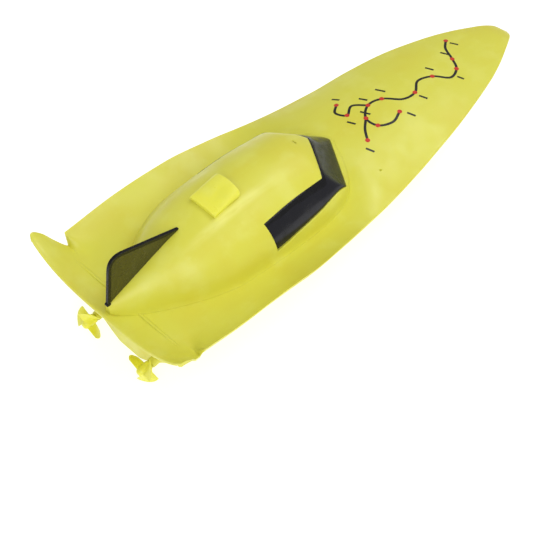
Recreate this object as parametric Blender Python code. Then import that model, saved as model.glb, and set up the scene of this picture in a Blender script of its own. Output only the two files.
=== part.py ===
"""Radio-controlled speed boat: hull, deck, lift-off canopy and twin-screw drive.

Sizes are in millimetres and become metres where a mesh is made. A point is (station, side, height):
stations run forward from the stern lip, sides run to port, heights run up from the flat of the keel.
The finished model has +X towards the bow and its origin on the keel plane, midway along the boat.
"""
import math

import bmesh
import bpy
from mathutils import Matrix, Vector

MM = 0.001
GAP = 0.3  # clearance between pieces that touch

# Overall sizes, and the stations where sections of the hull and deck are drawn
LENGTH = 338.5
BODY_STATIONS = [21.2, 29, 40, 55, 75, 95, 115, 135, 146, 156, 166, 177]
BODY_STATIONS += [192, 210, 228, 246, 262, 277, 291, 304, 316, 326]
NOTCH = 20.0  # station where the gunwale ends and the stern wing begins
TRANSOM = 15.0
LIP_HEIGHT = 43.5

# Shell thicknesses
HULL_SIDE_WALL = 2.6
HULL_BOTTOM_WALL = 2.0
CANOPY_WALL = 2.4

# Lines of the deck, each a list of (station, value)
WING_HALF_BREADTH = [(0, 63.2), (0.8, 64.5), (2.2, 65), (6, 64.6), (12, 62.6), (20, 58.6)]
WING_EDGE_HEIGHT = [(0, 57.8), (2.2, 59), (8, 54.8), (14, 46.8), (20, 39.8)]
WING_FULLNESS = [(0, 3.6), (20, 5)]
HALF_BREADTH = [
    (20, 60.5), (60, 62.5), (100, 62.4), (130, 59.5), (160, 55), (205, 47.8),
    (250, 39.8), (290, 28.6), (308, 21.4), (318, 16.4), (326, 12.2), (331.7, 8.8), (335.3, 6),
    (337.6, 3.6), (338.5, 2.2),
]
EDGE_HEIGHT = [
    (20, 49), (40, 50.1), (80, 52.1), (130, 50.1), (175, 47.2), (205, 48.6), (235, 52.6),
    (270, 55.8), (305, 56.4), (325, 56), (333, 54.6), (338.5, 51),
]
CENTRE_HEIGHT = [
    (0, 43.8), (10, 41.4), (20, 40.4), (50, 42.8), (60, 43.5), (135, 43.5), (150, 47), (177, 59),
    (200, 61), (235, 62), (275, 61), (305, 59), (325, 57.2), (333, 55.2), (338.5, 51.2),
]
FULLNESS = [(20, 5), (60, 4.6), (120, 4.6), (150, 4), (185, 2.2), (338.5, 2.2)]
SEAM_HEIGHT = [
    (20, 36.6), (40, 39.5), (80, 44.5), (130, 45.4), (175, 43.2), (205, 44.4),
    (235, 48.4), (270, 51.4), (305, 51.8), (325, 51), (333, 49), (338.5, 46),
]
DECK_SKIN = [(0, 3.2), (3, 3.2), (9, 1.8), (338.5, 1.8)]
SKIRT_LEAN = 0.62

# Lines of the hull
KEEL_HEIGHT = [(15, 0), (215, 0), (250, 2.6), (280, 9), (305, 18.5), (325, 32), (333, 39), (338.5, 44)]
KEEL_PAD = [(15, 8), (215, 8), (260, 5), (310, 2), (338.5, 0.3)]
SECTION_POWER = 1.64  # 2 gives a straight V, 1 a round bilge

# Lines of the canopy
CANOPY_HALF_WIDTH = [
    (3, 1.8), (10, 7.4), (20, 12.8), (38, 23.4), (56, 32.4), (75, 36.8), (110, 37.5), (140, 36.2),
    (150, 35), (158, 32.4), (164, 27.2), (170, 17.6), (175, 7.6), (178, 2),
]
RIDGE_HEIGHT = [
    (3, 49.2), (20, 56.8), (56, 71.2), (74, 75), (93, 78.4), (120, 80.8), (142, 79.4),
    (156, 75.2), (167, 67.6), (178, 60.4),
]
BROW_STATION = 157.3  # where the ridge passes over the visor
BROW_HEIGHT = 76.8
BROW_FALL_FORWARD = 0.729
BROW_FALL_OUTBOARD = 0.609

# Visor, as plan points (station, side) of its lower and upper edges from the centreline aft
VISOR_LOWER = [(175.6, 0), (158.7, 31.0), (98, 36.5)]
VISOR_UPPER = [(157.3, 0), (143.8, 25.7), (95.8, 27.9)]
VISOR_BOW = 1.3  # of the lower edge, along the side
VISOR_RECESS = 1.6

# Tail fin, as profile points (station, height) above the canopy ridge
FIN_THICKNESS = 2.0
FIN_AFT_FOOT = (2.6, 50.2)
FIN_AFT_TOP = (6.4, 85.2)
FIN_TIP = (56, 72.6)
FIN_CORNER_RADIUS = 11.0

# Roof scoop
SCOOP_AFT = 74.0
SCOOP_FORE = 93.5
SCOOP_HALF_WIDTH = 10.3
SCOOP_RISE = 3.6
SCOOP_WALL = 1.3

# Inner hatch and what sits beside it
HATCH_CENTRE = 101.0
HATCH_OPENING = (60.0, 38.0)
HATCH_LID = (74.0, 52.0)
HATCH_SCREW_INSET = 4.0
SEAL_WIDTH = 3.0
SEAL_HEIGHT = 1.0
LID_THICKNESS = 2.0
LID_CROWN = 1.6
SWITCH_STATION = 58.5
SWITCH_BODY = (8.0, 15.0, 3.4)
SWITCH_SLOT = (3.4, 8.4)
SWITCH_STEM = (2.4, 3.4)
SWITCH_TRAVEL = 4.0

# Drive line: the hub centre, the shaft's rise forward, and distances along the shaft from the hub
HUB = (5.8, 24.0, 12.3)
SHAFT_RISE = math.radians(8)
SHAFT_RADIUS = 1.0
SHAFT_AFT = -3.0
SHAFT_FORE = 50.0
TUBE_RADIUS = 3.0
TUBE_AFT = 4.8
TUBE_FORE = 38.0
COUPLING_RADIUS = 3.2
COUPLING_AFT = 44.0
COUPLING_FORE = 58.0
MOTOR_SHAFT_FORE = 66.0
MOTOR_AFT = 64.0
MOTOR_FORE = 89.0
MOTOR_RADIUS = 7.5
MOTOR_BOSS_RADIUS = 3.0
MOTOR_BOSS_AFT = 61.6
BULKHEAD_STATION = 60.0
BULKHEAD_THICKNESS = 3.0
BULKHEAD_TOP = 30.0
BULKHEAD_HOLE_RADIUS = 3.9

# Propeller
HUB_RADIUS = 2.9
HUB_AFT = -4.4
HUB_FORE = 4.4
BLADE_COUNT = 3
BLADE_ROOT = 1.9
BLADE_RADIUS = 11.0
BLADE_THICKNESS = 1.1
BLADE_HALF_ANGLE = math.radians(32)
BLADE_TURN = {"port": math.radians(-13), "starboard": math.radians(-100)}
BLADE_HALF_PITCH = 3.8

# Equipment in the hull
TRAY = (97.0, 205.0, 18.6, 12.0, 14.0)  # aft, fore, half width, underside, top
TRAY_LIP = 5.0
BATTERY = (100.0, 162.0, 16.6, 14.4, 33.6)
BOARD = (168.0, 204.0, 14.0, 19.0, 20.6)
CONTACT_STATION = 222.0
CONTACT_SIDE = 9.0
LEAD_RADIUS = 0.9

YELLOW = (0.78, 0.76, 0.06)
BRIGHT_YELLOW = (0.88, 0.90, 0.08)
SMOKE = (0.02, 0.025, 0.03)


def fair(line, station):
    """Height of a smooth curve through the points of a line, without overshoot between them."""
    if station <= line[0][0]:
        return line[0][1]
    if station >= line[-1][0]:
        return line[-1][1]
    slopes = [(b[1] - a[1]) / (b[0] - a[0]) for a, b in zip(line, line[1:])]
    tangents = [slopes[0]]
    for before, after in zip(slopes, slopes[1:]):
        tangents.append(2 * before * after / (before + after) if before * after > 0 else 0.0)
    tangents.append(slopes[-1])
    for index, (start, end) in enumerate(zip(line, line[1:])):
        if station <= end[0]:
            break
    span = end[0] - start[0]
    u = (station - start[0]) / span
    rise = (2 * u ** 3 - 3 * u ** 2 + 1) * start[1] + (3 * u ** 2 - 2 * u ** 3) * end[1]
    lean = (u ** 3 - 2 * u ** 2 + u) * tangents[index] + (u ** 3 - u ** 2) * tangents[index + 1]
    return rise + span * lean


def half_breadth(station):
    return fair(WING_HALF_BREADTH if station <= NOTCH else HALF_BREADTH, station)


def edge_height(station):
    return fair(WING_EDGE_HEIGHT if station <= NOTCH else EDGE_HEIGHT, station)


def deck_height(station, side):
    """Top of the deck: a dished tray aft that turns into a crowned foredeck."""
    centre = fair(CENTRE_HEIGHT, station)
    across = min(abs(side) / half_breadth(station), 1.0)
    fullness = fair(WING_FULLNESS if station <= NOTCH else FULLNESS, station)
    return centre + (edge_height(station) - centre) * across ** fullness


def skirt_foot(station):
    """Side and height of the lower edge of the deck's skirt."""
    edge = edge_height(station)
    if station <= NOTCH:
        return half_breadth(station) - 0.3, edge - fair(DECK_SKIN, station)
    seam = fair(SEAM_HEIGHT, station)
    breadth = half_breadth(station)
    return breadth - min(SKIRT_LEAN * (edge - seam), 0.3 * breadth), seam


def hull_half_breadth(station):
    ahead = max(station, NOTCH + 0.2)
    return max(skirt_foot(ahead)[0] - 0.1, 0.4)


def hull_top(station, side):
    """Upper edge of the hull's wall, just under the deck."""
    if station <= NOTCH:
        return deck_height(station, side) - fair(DECK_SKIN, station) - 2 * GAP
    return fair(SEAM_HEIGHT, station) - GAP


def canopy_base(station, side):
    return deck_height(station, side) + GAP


def brow_height(station, side):
    """Two flat faces, one to each side, that pare down the front of the canopy."""
    return BROW_HEIGHT - BROW_FALL_FORWARD * (station - BROW_STATION) - BROW_FALL_OUTBOARD * abs(side)


def canopy_height(station, side):
    """Outer surface of the canopy above a plan point."""
    half_width = fair(CANOPY_HALF_WIDTH, station)
    base = canopy_base(station, half_width)
    across = min(abs(side) / half_width, 1.0)
    dome = base + (fair(RIDGE_HEIGHT, station) - base) * math.sqrt(1 - across ** 2)
    return max(min(dome, brow_height(station, side)), base)


def world(point):
    return Vector((point[0] - LENGTH / 2, point[1], point[2])) * MM


def make_material(name, colour, roughness, metallic=0.0):
    material = bpy.data.materials.new(name)
    material.use_nodes = True
    shader = material.node_tree.nodes["Principled BSDF"]
    shader.inputs["Base Color"].default_value = (*colour, 1)
    shader.inputs["Roughness"].default_value = roughness
    shader.inputs["Metallic"].default_value = metallic
    material.diffuse_color = (*colour, 1)
    return material


def add_object(name, mesh, material=None, parent=None, smooth_angle=35):
    """Turn a bmesh in world metres into an object whose origin is its parent's."""
    bmesh.ops.remove_doubles(mesh, verts=mesh.verts, dist=0.005 * MM)
    bmesh.ops.recalc_face_normals(mesh, faces=mesh.faces)
    data = bpy.data.meshes.new(name)
    if parent is not None:
        mesh.transform(parent.matrix_world.inverted())
    mesh.to_mesh(data)
    mesh.free()
    data.shade_smooth()
    data.set_sharp_from_angle(angle=math.radians(smooth_angle))
    thing = bpy.data.objects.new(name, data)
    bpy.context.scene.collection.objects.link(thing)
    thing.parent = parent
    if material is None:
        thing.hide_render = True
        thing.display_type = 'WIRE'
    else:
        data.materials.append(material)
    return thing


def add_axis(name, point, rotation=0.0):
    """An empty on a joint's axis."""
    axis = bpy.data.objects.new(name, None)
    axis.empty_display_size = 0.01
    axis.location = world(point)
    axis.rotation_euler = (0, rotation, 0)
    bpy.context.scene.collection.objects.link(axis)
    bpy.context.view_layer.update()
    return axis


def combine(thing, tool, operation):
    modifier = thing.modifiers.new(tool.name, 'BOOLEAN')
    modifier.operation = operation
    modifier.object = tool
    modifier.solver = 'EXACT'


def cut(thing, *tools):
    for tool in tools:
        combine(thing, tool, 'DIFFERENCE')


def fuse(thing, *tools):
    for tool in tools:
        combine(thing, tool, 'UNION')


def border(grid):
    """Vertices round the edge of a grid, in order."""
    columns = len(grid[0])
    rows = len(grid)
    near = [grid[0][j] for j in range(columns)]
    far_side = [grid[i][columns - 1] for i in range(1, rows)]
    far = [grid[rows - 1][j] for j in range(columns - 2, -1, -1)]
    near_side = [grid[i][0] for i in range(rows - 2, 0, -1)]
    return near + far_side + far + near_side


def double_skin(outer, inner):
    """A closed shell between two grids of points with the same rows and columns."""
    mesh = bmesh.new()
    grids = [[[mesh.verts.new(world(p)) for p in row] for row in rows] for rows in (outer, inner)]
    for grid in grids:
        for low, high in zip(grid, grid[1:]):
            for j in range(len(low) - 1):
                mesh.faces.new((low[j], low[j + 1], high[j + 1], high[j]))
    edges = [border(grid) for grid in grids]
    count = len(edges[0])
    for k in range(count):
        after = (k + 1) % count
        mesh.faces.new((edges[0][k], edges[0][after], edges[1][after], edges[1][k]))
    return mesh


def prism(outline, low, high, place):
    """Extrude a closed outline from low to high; place turns (a, b, depth) into a point."""
    mesh = bmesh.new()
    rings = [[mesh.verts.new(world(place(a, b, depth))) for a, b in outline] for depth in (low, high)]
    mesh.faces.new(rings[0])
    mesh.faces.new(rings[1])
    count = len(outline)
    for k in range(count):
        after = (k + 1) % count
        mesh.faces.new((rings[0][k], rings[0][after], rings[1][after], rings[1][k]))
    return mesh


def upright(a, b, depth):
    return a, b, depth


def lengthwise(a, b, depth):
    return depth, a, b


def sideways(a, b, depth):
    return a, depth, b


def block(aft, fore, starboard, port, low, high):
    outline = [(aft, starboard), (fore, starboard), (fore, port), (aft, port)]
    return prism(outline, low, high, upright)


def rounded_rectangle(centre, size, radius, steps=5):
    outline = []
    for turn, (sx, sy) in enumerate(((1, 1), (-1, 1), (-1, -1), (1, -1))):
        corner_x = centre[0] + sx * (size[0] / 2 - radius)
        corner_y = centre[1] + sy * (size[1] / 2 - radius)
        for k in range(steps + 1):
            angle = math.radians(90) * (turn + k / steps)
            outline.append((corner_x + radius * math.cos(angle), corner_y + radius * math.sin(angle)))
    return outline


def circle(centre, radius, sides=20):
    angles = [2 * math.pi * k / sides for k in range(sides)]
    return [(centre[0] + radius * math.cos(a), centre[1] + radius * math.sin(a)) for a in angles]


def shaft_frame(hand):
    """World matrix, in millimetres, whose X axis runs forward along a shaft from its hub."""
    place = Matrix.Translation(Vector((HUB[0] - LENGTH / 2, hand * HUB[1], HUB[2])))
    return place @ Matrix.Rotation(-SHAFT_RISE, 4, 'Y')


def turned(profile, hand, sides=24, bore=None):
    """Turn a profile of (along, radius) points about a shaft; a bore makes it a tube."""
    frame = shaft_frame(hand)
    mesh = bmesh.new()
    points = list(profile)
    if bore:
        points += [(profile[-1][0], bore), (profile[0][0], bore)]
    rings = []
    for along, radius in points:
        ring = []
        for k in range(sides):
            angle = 2 * math.pi * k / sides
            spot = frame @ Vector((along, radius * math.cos(angle), radius * math.sin(angle)))
            ring.append(mesh.verts.new(spot * MM))
        rings.append(ring)
    pairs = list(zip(rings, rings[1:]))
    if bore:
        pairs.append((rings[-1], rings[0]))
    else:
        mesh.faces.new(rings[0])
        mesh.faces.new(rings[-1])
    for low, high in pairs:
        for k in range(sides):
            after = (k + 1) % sides
            mesh.faces.new((low[k], low[after], high[after], high[k]))
    return mesh


def tube_through(name, route, radius, material):
    """A lead: a round tube along a smooth curve through its route's points."""
    points = [world(p) for p in route]
    count = len(points)
    curve = bpy.data.curves.new(name, 'CURVE')
    curve.dimensions = '3D'
    curve.bevel_depth = radius * MM
    curve.bevel_resolution = 2
    curve.use_fill_caps = True
    smooth = []
    for k in range(count - 1):
        before, start = points[max(k - 1, 0)], points[k]
        end, beyond = points[k + 1], points[min(k + 2, count - 1)]
        steps = max(2, round((end - start).length / (5 * radius * MM)))
        for step in range(steps):
            u = step / steps
            bend = (end - before) * u + (2 * before - 5 * start + 4 * end - beyond) * u ** 2
            smooth.append(start + 0.5 * (bend + (3 * start - before - 3 * end + beyond) * u ** 3))
    smooth.append(points[-1])
    spline = curve.splines.new('POLY')
    spline.points.add(len(smooth) - 1)
    for point, spot in zip(spline.points, smooth):
        point.co = (*spot, 1)
    curve.materials.append(material)
    thing = bpy.data.objects.new(name, curve)
    bpy.context.scene.collection.objects.link(thing)
    return thing


def hull_section(station, side_wall, bottom_wall):
    top_side = max(hull_half_breadth(station) - side_wall, 0.2)
    top = hull_top(station, top_side)
    keel = min(fair(KEEL_HEIGHT, station) + bottom_wall, top - 0.4)
    pad = min(fair(KEEL_PAD, station), 0.6 * top_side)
    points = []
    steps = 10
    for k in range(steps + 1):
        angle = math.radians(90) * k / steps
        side = pad + (top_side - pad) * math.cos(angle) ** SECTION_POWER
        points.append((station, side, top + (keel - top) * math.sin(angle) ** SECTION_POWER))
    mirrored = [(p[0], -p[1], p[2]) for p in reversed(points)]
    return points + mirrored


def closing_row(row, level):
    """The last section of a shell folded up, or down, onto the rim that closes its end."""
    reach = abs(row[0][1])
    return [(x, max(-reach, min(reach, y)), level(x, y)) for x, y, z in row]


def make_hull(material):
    outer_stations = [TRANSOM, 17.5, NOTCH] + BODY_STATIONS + [331.7, 335.3, 337.6, LENGTH]
    inner_stations = [TRANSOM + 2, 18.4, NOTCH] + BODY_STATIONS + [331, 333.4, 334.3, 335]
    outer = [hull_section(x, 0, 0) for x in outer_stations]
    inner = [hull_section(x, HULL_SIDE_WALL, HULL_BOTTOM_WALL) for x in inner_stations]
    for rows in (outer, inner):
        rows.insert(0, closing_row(rows[0], hull_top))
        rows.append(closing_row(rows[-1], hull_top))
    return add_object("hull", double_skin(outer, inner), material)


def deck_section(station, skin):
    """One section of the deck, from the foot of the port skirt over the top to the starboard one."""
    breadth = half_breadth(station)
    edge = edge_height(station)
    foot_side, foot = skirt_foot(station)
    thin = min(skin, 0.3 * breadth) if skin else 0
    points = [(station, foot_side - (min(thin, 1.0) if station <= NOTCH else thin), foot)]
    if skin:
        inside = breadth - thin
        points.append((station, inside - 0.2, deck_height(station, inside) - skin))
        points.append((station, inside - 0.5, deck_height(station, inside - 0.3) - skin))
        reach = inside - 0.9
    else:
        points.append((station, breadth, max(edge - 1.3, foot + 0.5)))
        points.append((station, breadth - min(0.5, 0.2 * breadth), edge))
        reach = breadth - min(0.9, 0.4 * breadth)
    for share in (1, 0.96, 0.9, 0.81, 0.68, 0.5, 0.26):
        side = max(reach, 0.05) * share
        points.append((station, side, deck_height(station, side) - skin))
    middle = [(station, 0, deck_height(station, 0) - skin)]
    mirrored = [(p[0], -p[1], p[2]) for p in reversed(points)]
    return points + middle + mirrored


def make_deck(material):
    stations = [0, 1.5, 4, 7, 10.5, 14, 17, NOTCH] + BODY_STATIONS
    outer = [deck_section(x, 0) for x in stations + [331.7, 335.3, 337.6, LENGTH]]
    inner = [deck_section(x, fair(DECK_SKIN, x)) for x in stations + [331, 333.8, 335.2, 336.2]]
    for rows in (outer, inner):
        rows.append(closing_row(rows[-1], lambda x, y: skirt_foot(x)[1]))
    deck = add_object("deck", double_skin(outer, inner), material)
    opening = rounded_rectangle((HATCH_CENTRE, 0), HATCH_OPENING, 5)
    cut(deck, add_object("hatch_opening", prism(opening, LIP_HEIGHT - 6, LIP_HEIGHT + 6, upright)))
    return deck


def canopy_section(station, wall):
    half_width = max(fair(CANOPY_HALF_WIDTH, station) - wall, 0.5)
    base = canopy_base(station, half_width)
    ridge = max(fair(RIDGE_HEIGHT, station) - wall, base + 0.5)
    points = []
    steps = 24
    for k in range(steps + 1):
        angle = math.pi * k / steps
        side = half_width * math.cos(angle)
        dome = base + (ridge - base) * math.sin(angle)
        points.append((station, side, max(min(dome, brow_height(station, side) - 1.5 * wall), base)))
    return points


def make_canopy(material, axis):
    middle = [21, 32, 46, 61, 78, 98, 118, 134, 146, 155, 161, 166]
    outer = [canopy_section(x, 0) for x in [3, 6, 12] + middle + [170.5, 174.5, 177, 178]]
    inner = [canopy_section(x, CANOPY_WALL) for x in [9, 11, 14] + middle + [168.5, 170.5, 172, 173]]
    for rows in (outer, inner):
        rows.insert(0, closing_row(rows[0], canopy_base))
        rows.append(closing_row(rows[-1], canopy_base))
    canopy = add_object("canopy", double_skin(outer, inner), material, axis)
    recess = add_object("visor_recess", visor_patch(GAP, -VISOR_RECESS, 5.0), None, axis)
    cut(canopy, recess)
    return canopy


def surface_normal(station, side):
    step = 2.5
    along = (canopy_height(station + step, side) - canopy_height(station - step, side)) / (2 * step)
    across = (canopy_height(station, side + step) - canopy_height(station, side - step)) / (2 * step)
    return Vector((-along, -across, 1)).normalized()


def visor_patch(margin, low, high):
    """The visor's band on the canopy, grown by a margin, between two offsets from the surface."""
    def stretch(edge, outward):
        centre, corner, end = [Vector(p) for p in edge]
        end = end + (end - corner).normalized() * margin
        lean = outward * margin
        corner = corner + Vector((0.8 * lean, 0.6 * lean))
        return [centre + Vector((lean, 0)), corner, end + Vector((0, lean))]

    lower = stretch(VISOR_LOWER, 1)
    upper = stretch(VISOR_UPPER, -1)
    front_steps, side_steps, across_steps = 6, 12, 5
    edges = []
    for k in range(front_steps):
        edges.append([a.lerp(b, k / front_steps) for a, b in ((lower[0], lower[1]), (upper[0], upper[1]))])
    for k in range(side_steps + 1):
        share = k / side_steps
        bow = Vector((0, 4 * VISOR_BOW * share * (1 - share)))
        edges.append([lower[1].lerp(lower[2], share) + bow, upper[1].lerp(upper[2], share)])
    edges = [[Vector((p.x, -p.y)) for p in pair] for pair in reversed(edges[1:])] + edges
    grids = []
    for offset in (high, low):
        rows = []
        for bottom, top in edges:
            row = []
            for k in range(across_steps + 1):
                plan = bottom.lerp(top, k / across_steps)
                spot = Vector((plan.x, plan.y, canopy_height(plan.x, plan.y)))
                row.append(tuple(spot + surface_normal(plan.x, plan.y) * offset))
            rows.append(row)
        grids.append(rows)
    return double_skin(*grids)


def make_fin(material, axis):
    """A thin plate whose foot follows the canopy's ridge and whose aft top corner is rounded."""
    corner = Vector(FIN_AFT_TOP)
    down = (Vector(FIN_AFT_FOOT) - corner).normalized()
    ahead = (Vector(FIN_TIP) - corner).normalized()
    start = corner + down * FIN_CORNER_RADIUS
    end = corner + ahead * FIN_CORNER_RADIUS
    outline = [FIN_AFT_FOOT]
    steps = 6
    for k in range(steps + 1):
        u = k / steps
        outline.append(tuple(start.lerp(corner, u).lerp(corner.lerp(end, u), u)))
    outline.append(FIN_TIP)
    foot = [(x, fair(RIDGE_HEIGHT, x) + GAP) for x in (56, 48, 38, 28, 18, 10, 5)]
    outline += foot
    mesh = prism(outline, -FIN_THICKNESS / 2, FIN_THICKNESS / 2, sideways)
    return add_object("tail_fin", mesh, material, axis)


def make_scoop(material, axis):
    """A ramp that rises forward to an arched mouth, open at the front."""
    def section(station, inset):
        along = (station - SCOOP_AFT) / (SCOOP_FORE - SCOOP_AFT)
        floor = fair(RIDGE_HEIGHT, station) + GAP
        top = floor + 2.4 + SCOOP_RISE * along - inset
        half = SCOOP_HALF_WIDTH - inset
        rise = 0.85 * (top - floor) - 0.6
        points = [(station, half, floor), (station, half, top - rise)]
        for angle in (math.radians(30), math.radians(60)):
            points.append((station, half * math.cos(angle), top - rise + rise * math.sin(angle)))
        mirrored = [(p[0], -p[1], p[2]) for p in reversed(points)]
        return points + [(station, 0, top)] + mirrored

    outer_stations = [SCOOP_AFT, 77, 81, 85, 89, SCOOP_FORE]
    inner_stations = [79, 81, 84, 87, 90, SCOOP_FORE]
    outer = [section(x, 0) for x in outer_stations]
    inner = [section(x, SCOOP_WALL) for x in inner_stations]
    for rows in (outer, inner):
        rows.insert(0, closing_row(rows[0], lambda x, y: fair(RIDGE_HEIGHT, x) + GAP))
    return add_object("roof_scoop", double_skin(outer, inner), material, axis)


def hatch_screw_points():
    reach = [size / 2 - HATCH_SCREW_INSET for size in HATCH_LID]
    return [(HATCH_CENTRE + sx * reach[0], sy * reach[1]) for sx in (1, -1) for sy in (1, -1)]


def make_hatch(materials, deck):
    seal_foot = LIP_HEIGHT + GAP
    lid_foot = seal_foot + SEAL_HEIGHT + GAP
    lid_top = lid_foot + LID_THICKNESS
    centre = (HATCH_CENTRE, 0)
    seal_size = [size + 2 * SEAL_WIDTH for size in HATCH_OPENING]
    ring = prism(rounded_rectangle(centre, seal_size, 8), seal_foot, seal_foot + SEAL_HEIGHT, upright)
    seal = add_object("hatch_seal", ring, materials["rubber"])
    hole = prism(rounded_rectangle(centre, HATCH_OPENING, 5), seal_foot - 2, seal_foot + 4, upright)
    cut(seal, add_object("seal_hole", hole))
    plate = prism(rounded_rectangle(centre, HATCH_LID, 6), lid_foot, lid_top, upright)
    lid = add_object("inner_hatch", plate, materials["grey"])
    crown_size = [size - 18 for size in HATCH_LID]
    crown = prism(rounded_rectangle(centre, crown_size, 5), lid_top - 1, lid_top + LID_CROWN, upright)
    fuse(lid, add_object("hatch_crown", crown))
    for number, spot in enumerate(hatch_screw_points(), 1):
        drill = prism(circle(spot, 1.6, 12), LIP_HEIGHT - 6, lid_top + 3, upright)
        hole = add_object(f"screw_hole_{number}", drill)
        cut(lid, hole)
        cut(deck, hole)
        head = prism(circle(spot, 2.4, 12), lid_top + GAP, lid_top + 1.7, upright)
        screw = add_object(f"hatch_screw_{number}", head, materials["steel"])
        shank = prism(circle(spot, 1.25, 8), LIP_HEIGHT - 4, lid_top + 1, upright)
        fuse(screw, add_object(f"screw_shank_{number}", shank))


def make_switch(materials):
    length, width, height = SWITCH_BODY
    foot = LIP_HEIGHT + GAP
    centre = (SWITCH_STATION, 0)
    body = prism(rounded_rectangle(centre, (length, width), 1), foot, foot + height, upright)
    housing = add_object("switch_housing", body, materials["black"])
    slot = block(
        SWITCH_STATION - SWITCH_SLOT[0] / 2, SWITCH_STATION + SWITCH_SLOT[0] / 2,
        -SWITCH_SLOT[1] / 2, SWITCH_SLOT[1] / 2, foot + 1, foot + height + 2,
    )
    cut(housing, add_object("switch_slot", slot))
    rest_side = -SWITCH_TRAVEL / 2
    axis = add_axis("switch_axis", (SWITCH_STATION, rest_side, foot + height))
    stem = block(
        SWITCH_STATION - SWITCH_STEM[0] / 2, SWITCH_STATION + SWITCH_STEM[0] / 2,
        rest_side - SWITCH_STEM[1] / 2, rest_side + SWITCH_STEM[1] / 2, foot + 1 + GAP, foot + height + 2.2,
    )
    add_object("switch_slider", stem, materials["red"], axis)


def propeller_blade(hand, turn):
    """One broad fan blade, twisted as a screw about the shaft."""
    frame = shaft_frame(hand)
    grids = []
    for lift in (BLADE_THICKNESS / 2, -BLADE_THICKNESS / 2):
        rows = []
        for reach in (0, 0.35, 0.7, 1):
            radius = BLADE_ROOT + (BLADE_RADIUS - BLADE_ROOT) * reach
            spread = BLADE_HALF_ANGLE * min(1.0, 0.62 + 0.5 * reach)
            row = []
            for share in (-1, -0.5, 0, 0.5, 1):
                angle = turn + hand * share * spread
                trim = 1 - 0.10 * share ** 2 * reach ** 4
                along = share * BLADE_HALF_PITCH * (0.75 + 0.25 * reach) + lift
                spot = Vector((along, radius * trim * math.cos(angle), radius * trim * math.sin(angle)))
                moved = frame @ spot
                row.append((moved.x + LENGTH / 2, moved.y, moved.z))
            rows.append(row)
        grids.append(rows)
    return double_skin(*grids)


def make_propeller(side_name, hand, material, axis):
    name = f"propeller_{side_name}"
    profile = [(HUB_AFT, 1.6), (HUB_AFT + 0.7, 2.4), (HUB_AFT + 2, HUB_RADIUS), (HUB_FORE, HUB_RADIUS)]
    propeller = add_object(name, turned(profile, hand), material, axis)
    for k in range(BLADE_COUNT):
        turn = BLADE_TURN[side_name] + 2 * math.pi * k / BLADE_COUNT
        blade = add_object(f"{name}_blade_{k + 1}", propeller_blade(hand, turn), None, axis)
        fuse(propeller, blade)
    bore = turned([(SHAFT_AFT - GAP, SHAFT_RADIUS + GAP), (HUB_FORE + 3, SHAFT_RADIUS + GAP)], hand, 12)
    cut(propeller, add_object(f"{name}_bore", bore, None, axis))


def make_drive(side_name, hand, materials, hull, bulkhead):
    """Everything on one shaft: propeller, shaft, stern tube, coupling and motor."""
    axis = add_axis(f"{side_name}_shaft_axis", (HUB[0], hand * HUB[1], HUB[2]), -SHAFT_RISE)
    make_propeller(side_name, hand, materials["bright"], axis)
    shaft = turned([(SHAFT_AFT, SHAFT_RADIUS), (SHAFT_FORE, SHAFT_RADIUS)], hand, 12)
    add_object(f"prop_shaft_{side_name}", shaft, materials["steel"], axis)
    spare = SHAFT_RADIUS + GAP
    coupling = turned(
        [(COUPLING_AFT, 2.6), (COUPLING_AFT + 0.8, COUPLING_RADIUS), (COUPLING_FORE - 0.8, COUPLING_RADIUS),
         (COUPLING_FORE, 2.6)], hand, 16, bore=spare,
    )
    add_object(f"shaft_coupling_{side_name}", coupling, materials["black"], axis)
    motor_shaft = turned([(SHAFT_FORE + 1, SHAFT_RADIUS), (MOTOR_SHAFT_FORE, SHAFT_RADIUS)], hand, 12)
    add_object(f"motor_shaft_{side_name}", motor_shaft, materials["steel"], axis)

    tube_profile = [(TUBE_AFT, TUBE_RADIUS - 0.4), (TUBE_AFT + 0.8, TUBE_RADIUS), (TUBE_FORE, TUBE_RADIUS)]
    add_object(f"stern_tube_{side_name}", turned(tube_profile, hand, 16, bore=spare), materials["yellow"])
    passage = turned([(TUBE_AFT, TUBE_RADIUS + GAP), (TUBE_FORE, TUBE_RADIUS + GAP)], hand, 12)
    cut(hull, add_object(f"tube_passage_{side_name}", passage))

    can_profile = [
        (MOTOR_BOSS_AFT, MOTOR_BOSS_RADIUS), (MOTOR_AFT, MOTOR_BOSS_RADIUS), (MOTOR_AFT, MOTOR_RADIUS - 0.8),
        (MOTOR_AFT + 0.8, MOTOR_RADIUS), (MOTOR_FORE - 3, MOTOR_RADIUS), (MOTOR_FORE, MOTOR_RADIUS - 1.4),
    ]
    motor = add_object(f"motor_{side_name}", turned(can_profile, hand, 20), materials["steel"])
    well = turned([(MOTOR_BOSS_AFT - 2, spare), (MOTOR_SHAFT_FORE + GAP, spare)], hand, 12)
    cut(motor, add_object(f"motor_bore_{side_name}", well))
    clear = turned([(TUBE_FORE + 8, BULKHEAD_HOLE_RADIUS), (MOTOR_AFT + 2, BULKHEAD_HOLE_RADIUS)], hand, 12)
    cut(bulkhead, add_object(f"bulkhead_hole_{side_name}", clear))


def make_bulkhead(material):
    """The plate that carries both motors, cut to the inside of the hull."""
    section = hull_section(BULKHEAD_STATION, HULL_SIDE_WALL + 1.4, HULL_BOTTOM_WALL + 1.2)
    outline = [(y, z) for x, y, z in section if z < BULKHEAD_TOP]
    edge = outline[0][0] + 1.5
    outline = [(edge, BULKHEAD_TOP)] + outline + [(-edge, BULKHEAD_TOP)]
    mesh = prism(outline, BULKHEAD_STATION, BULKHEAD_STATION + BULKHEAD_THICKNESS, lengthwise)
    return add_object("motor_bulkhead", mesh, material)


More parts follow.
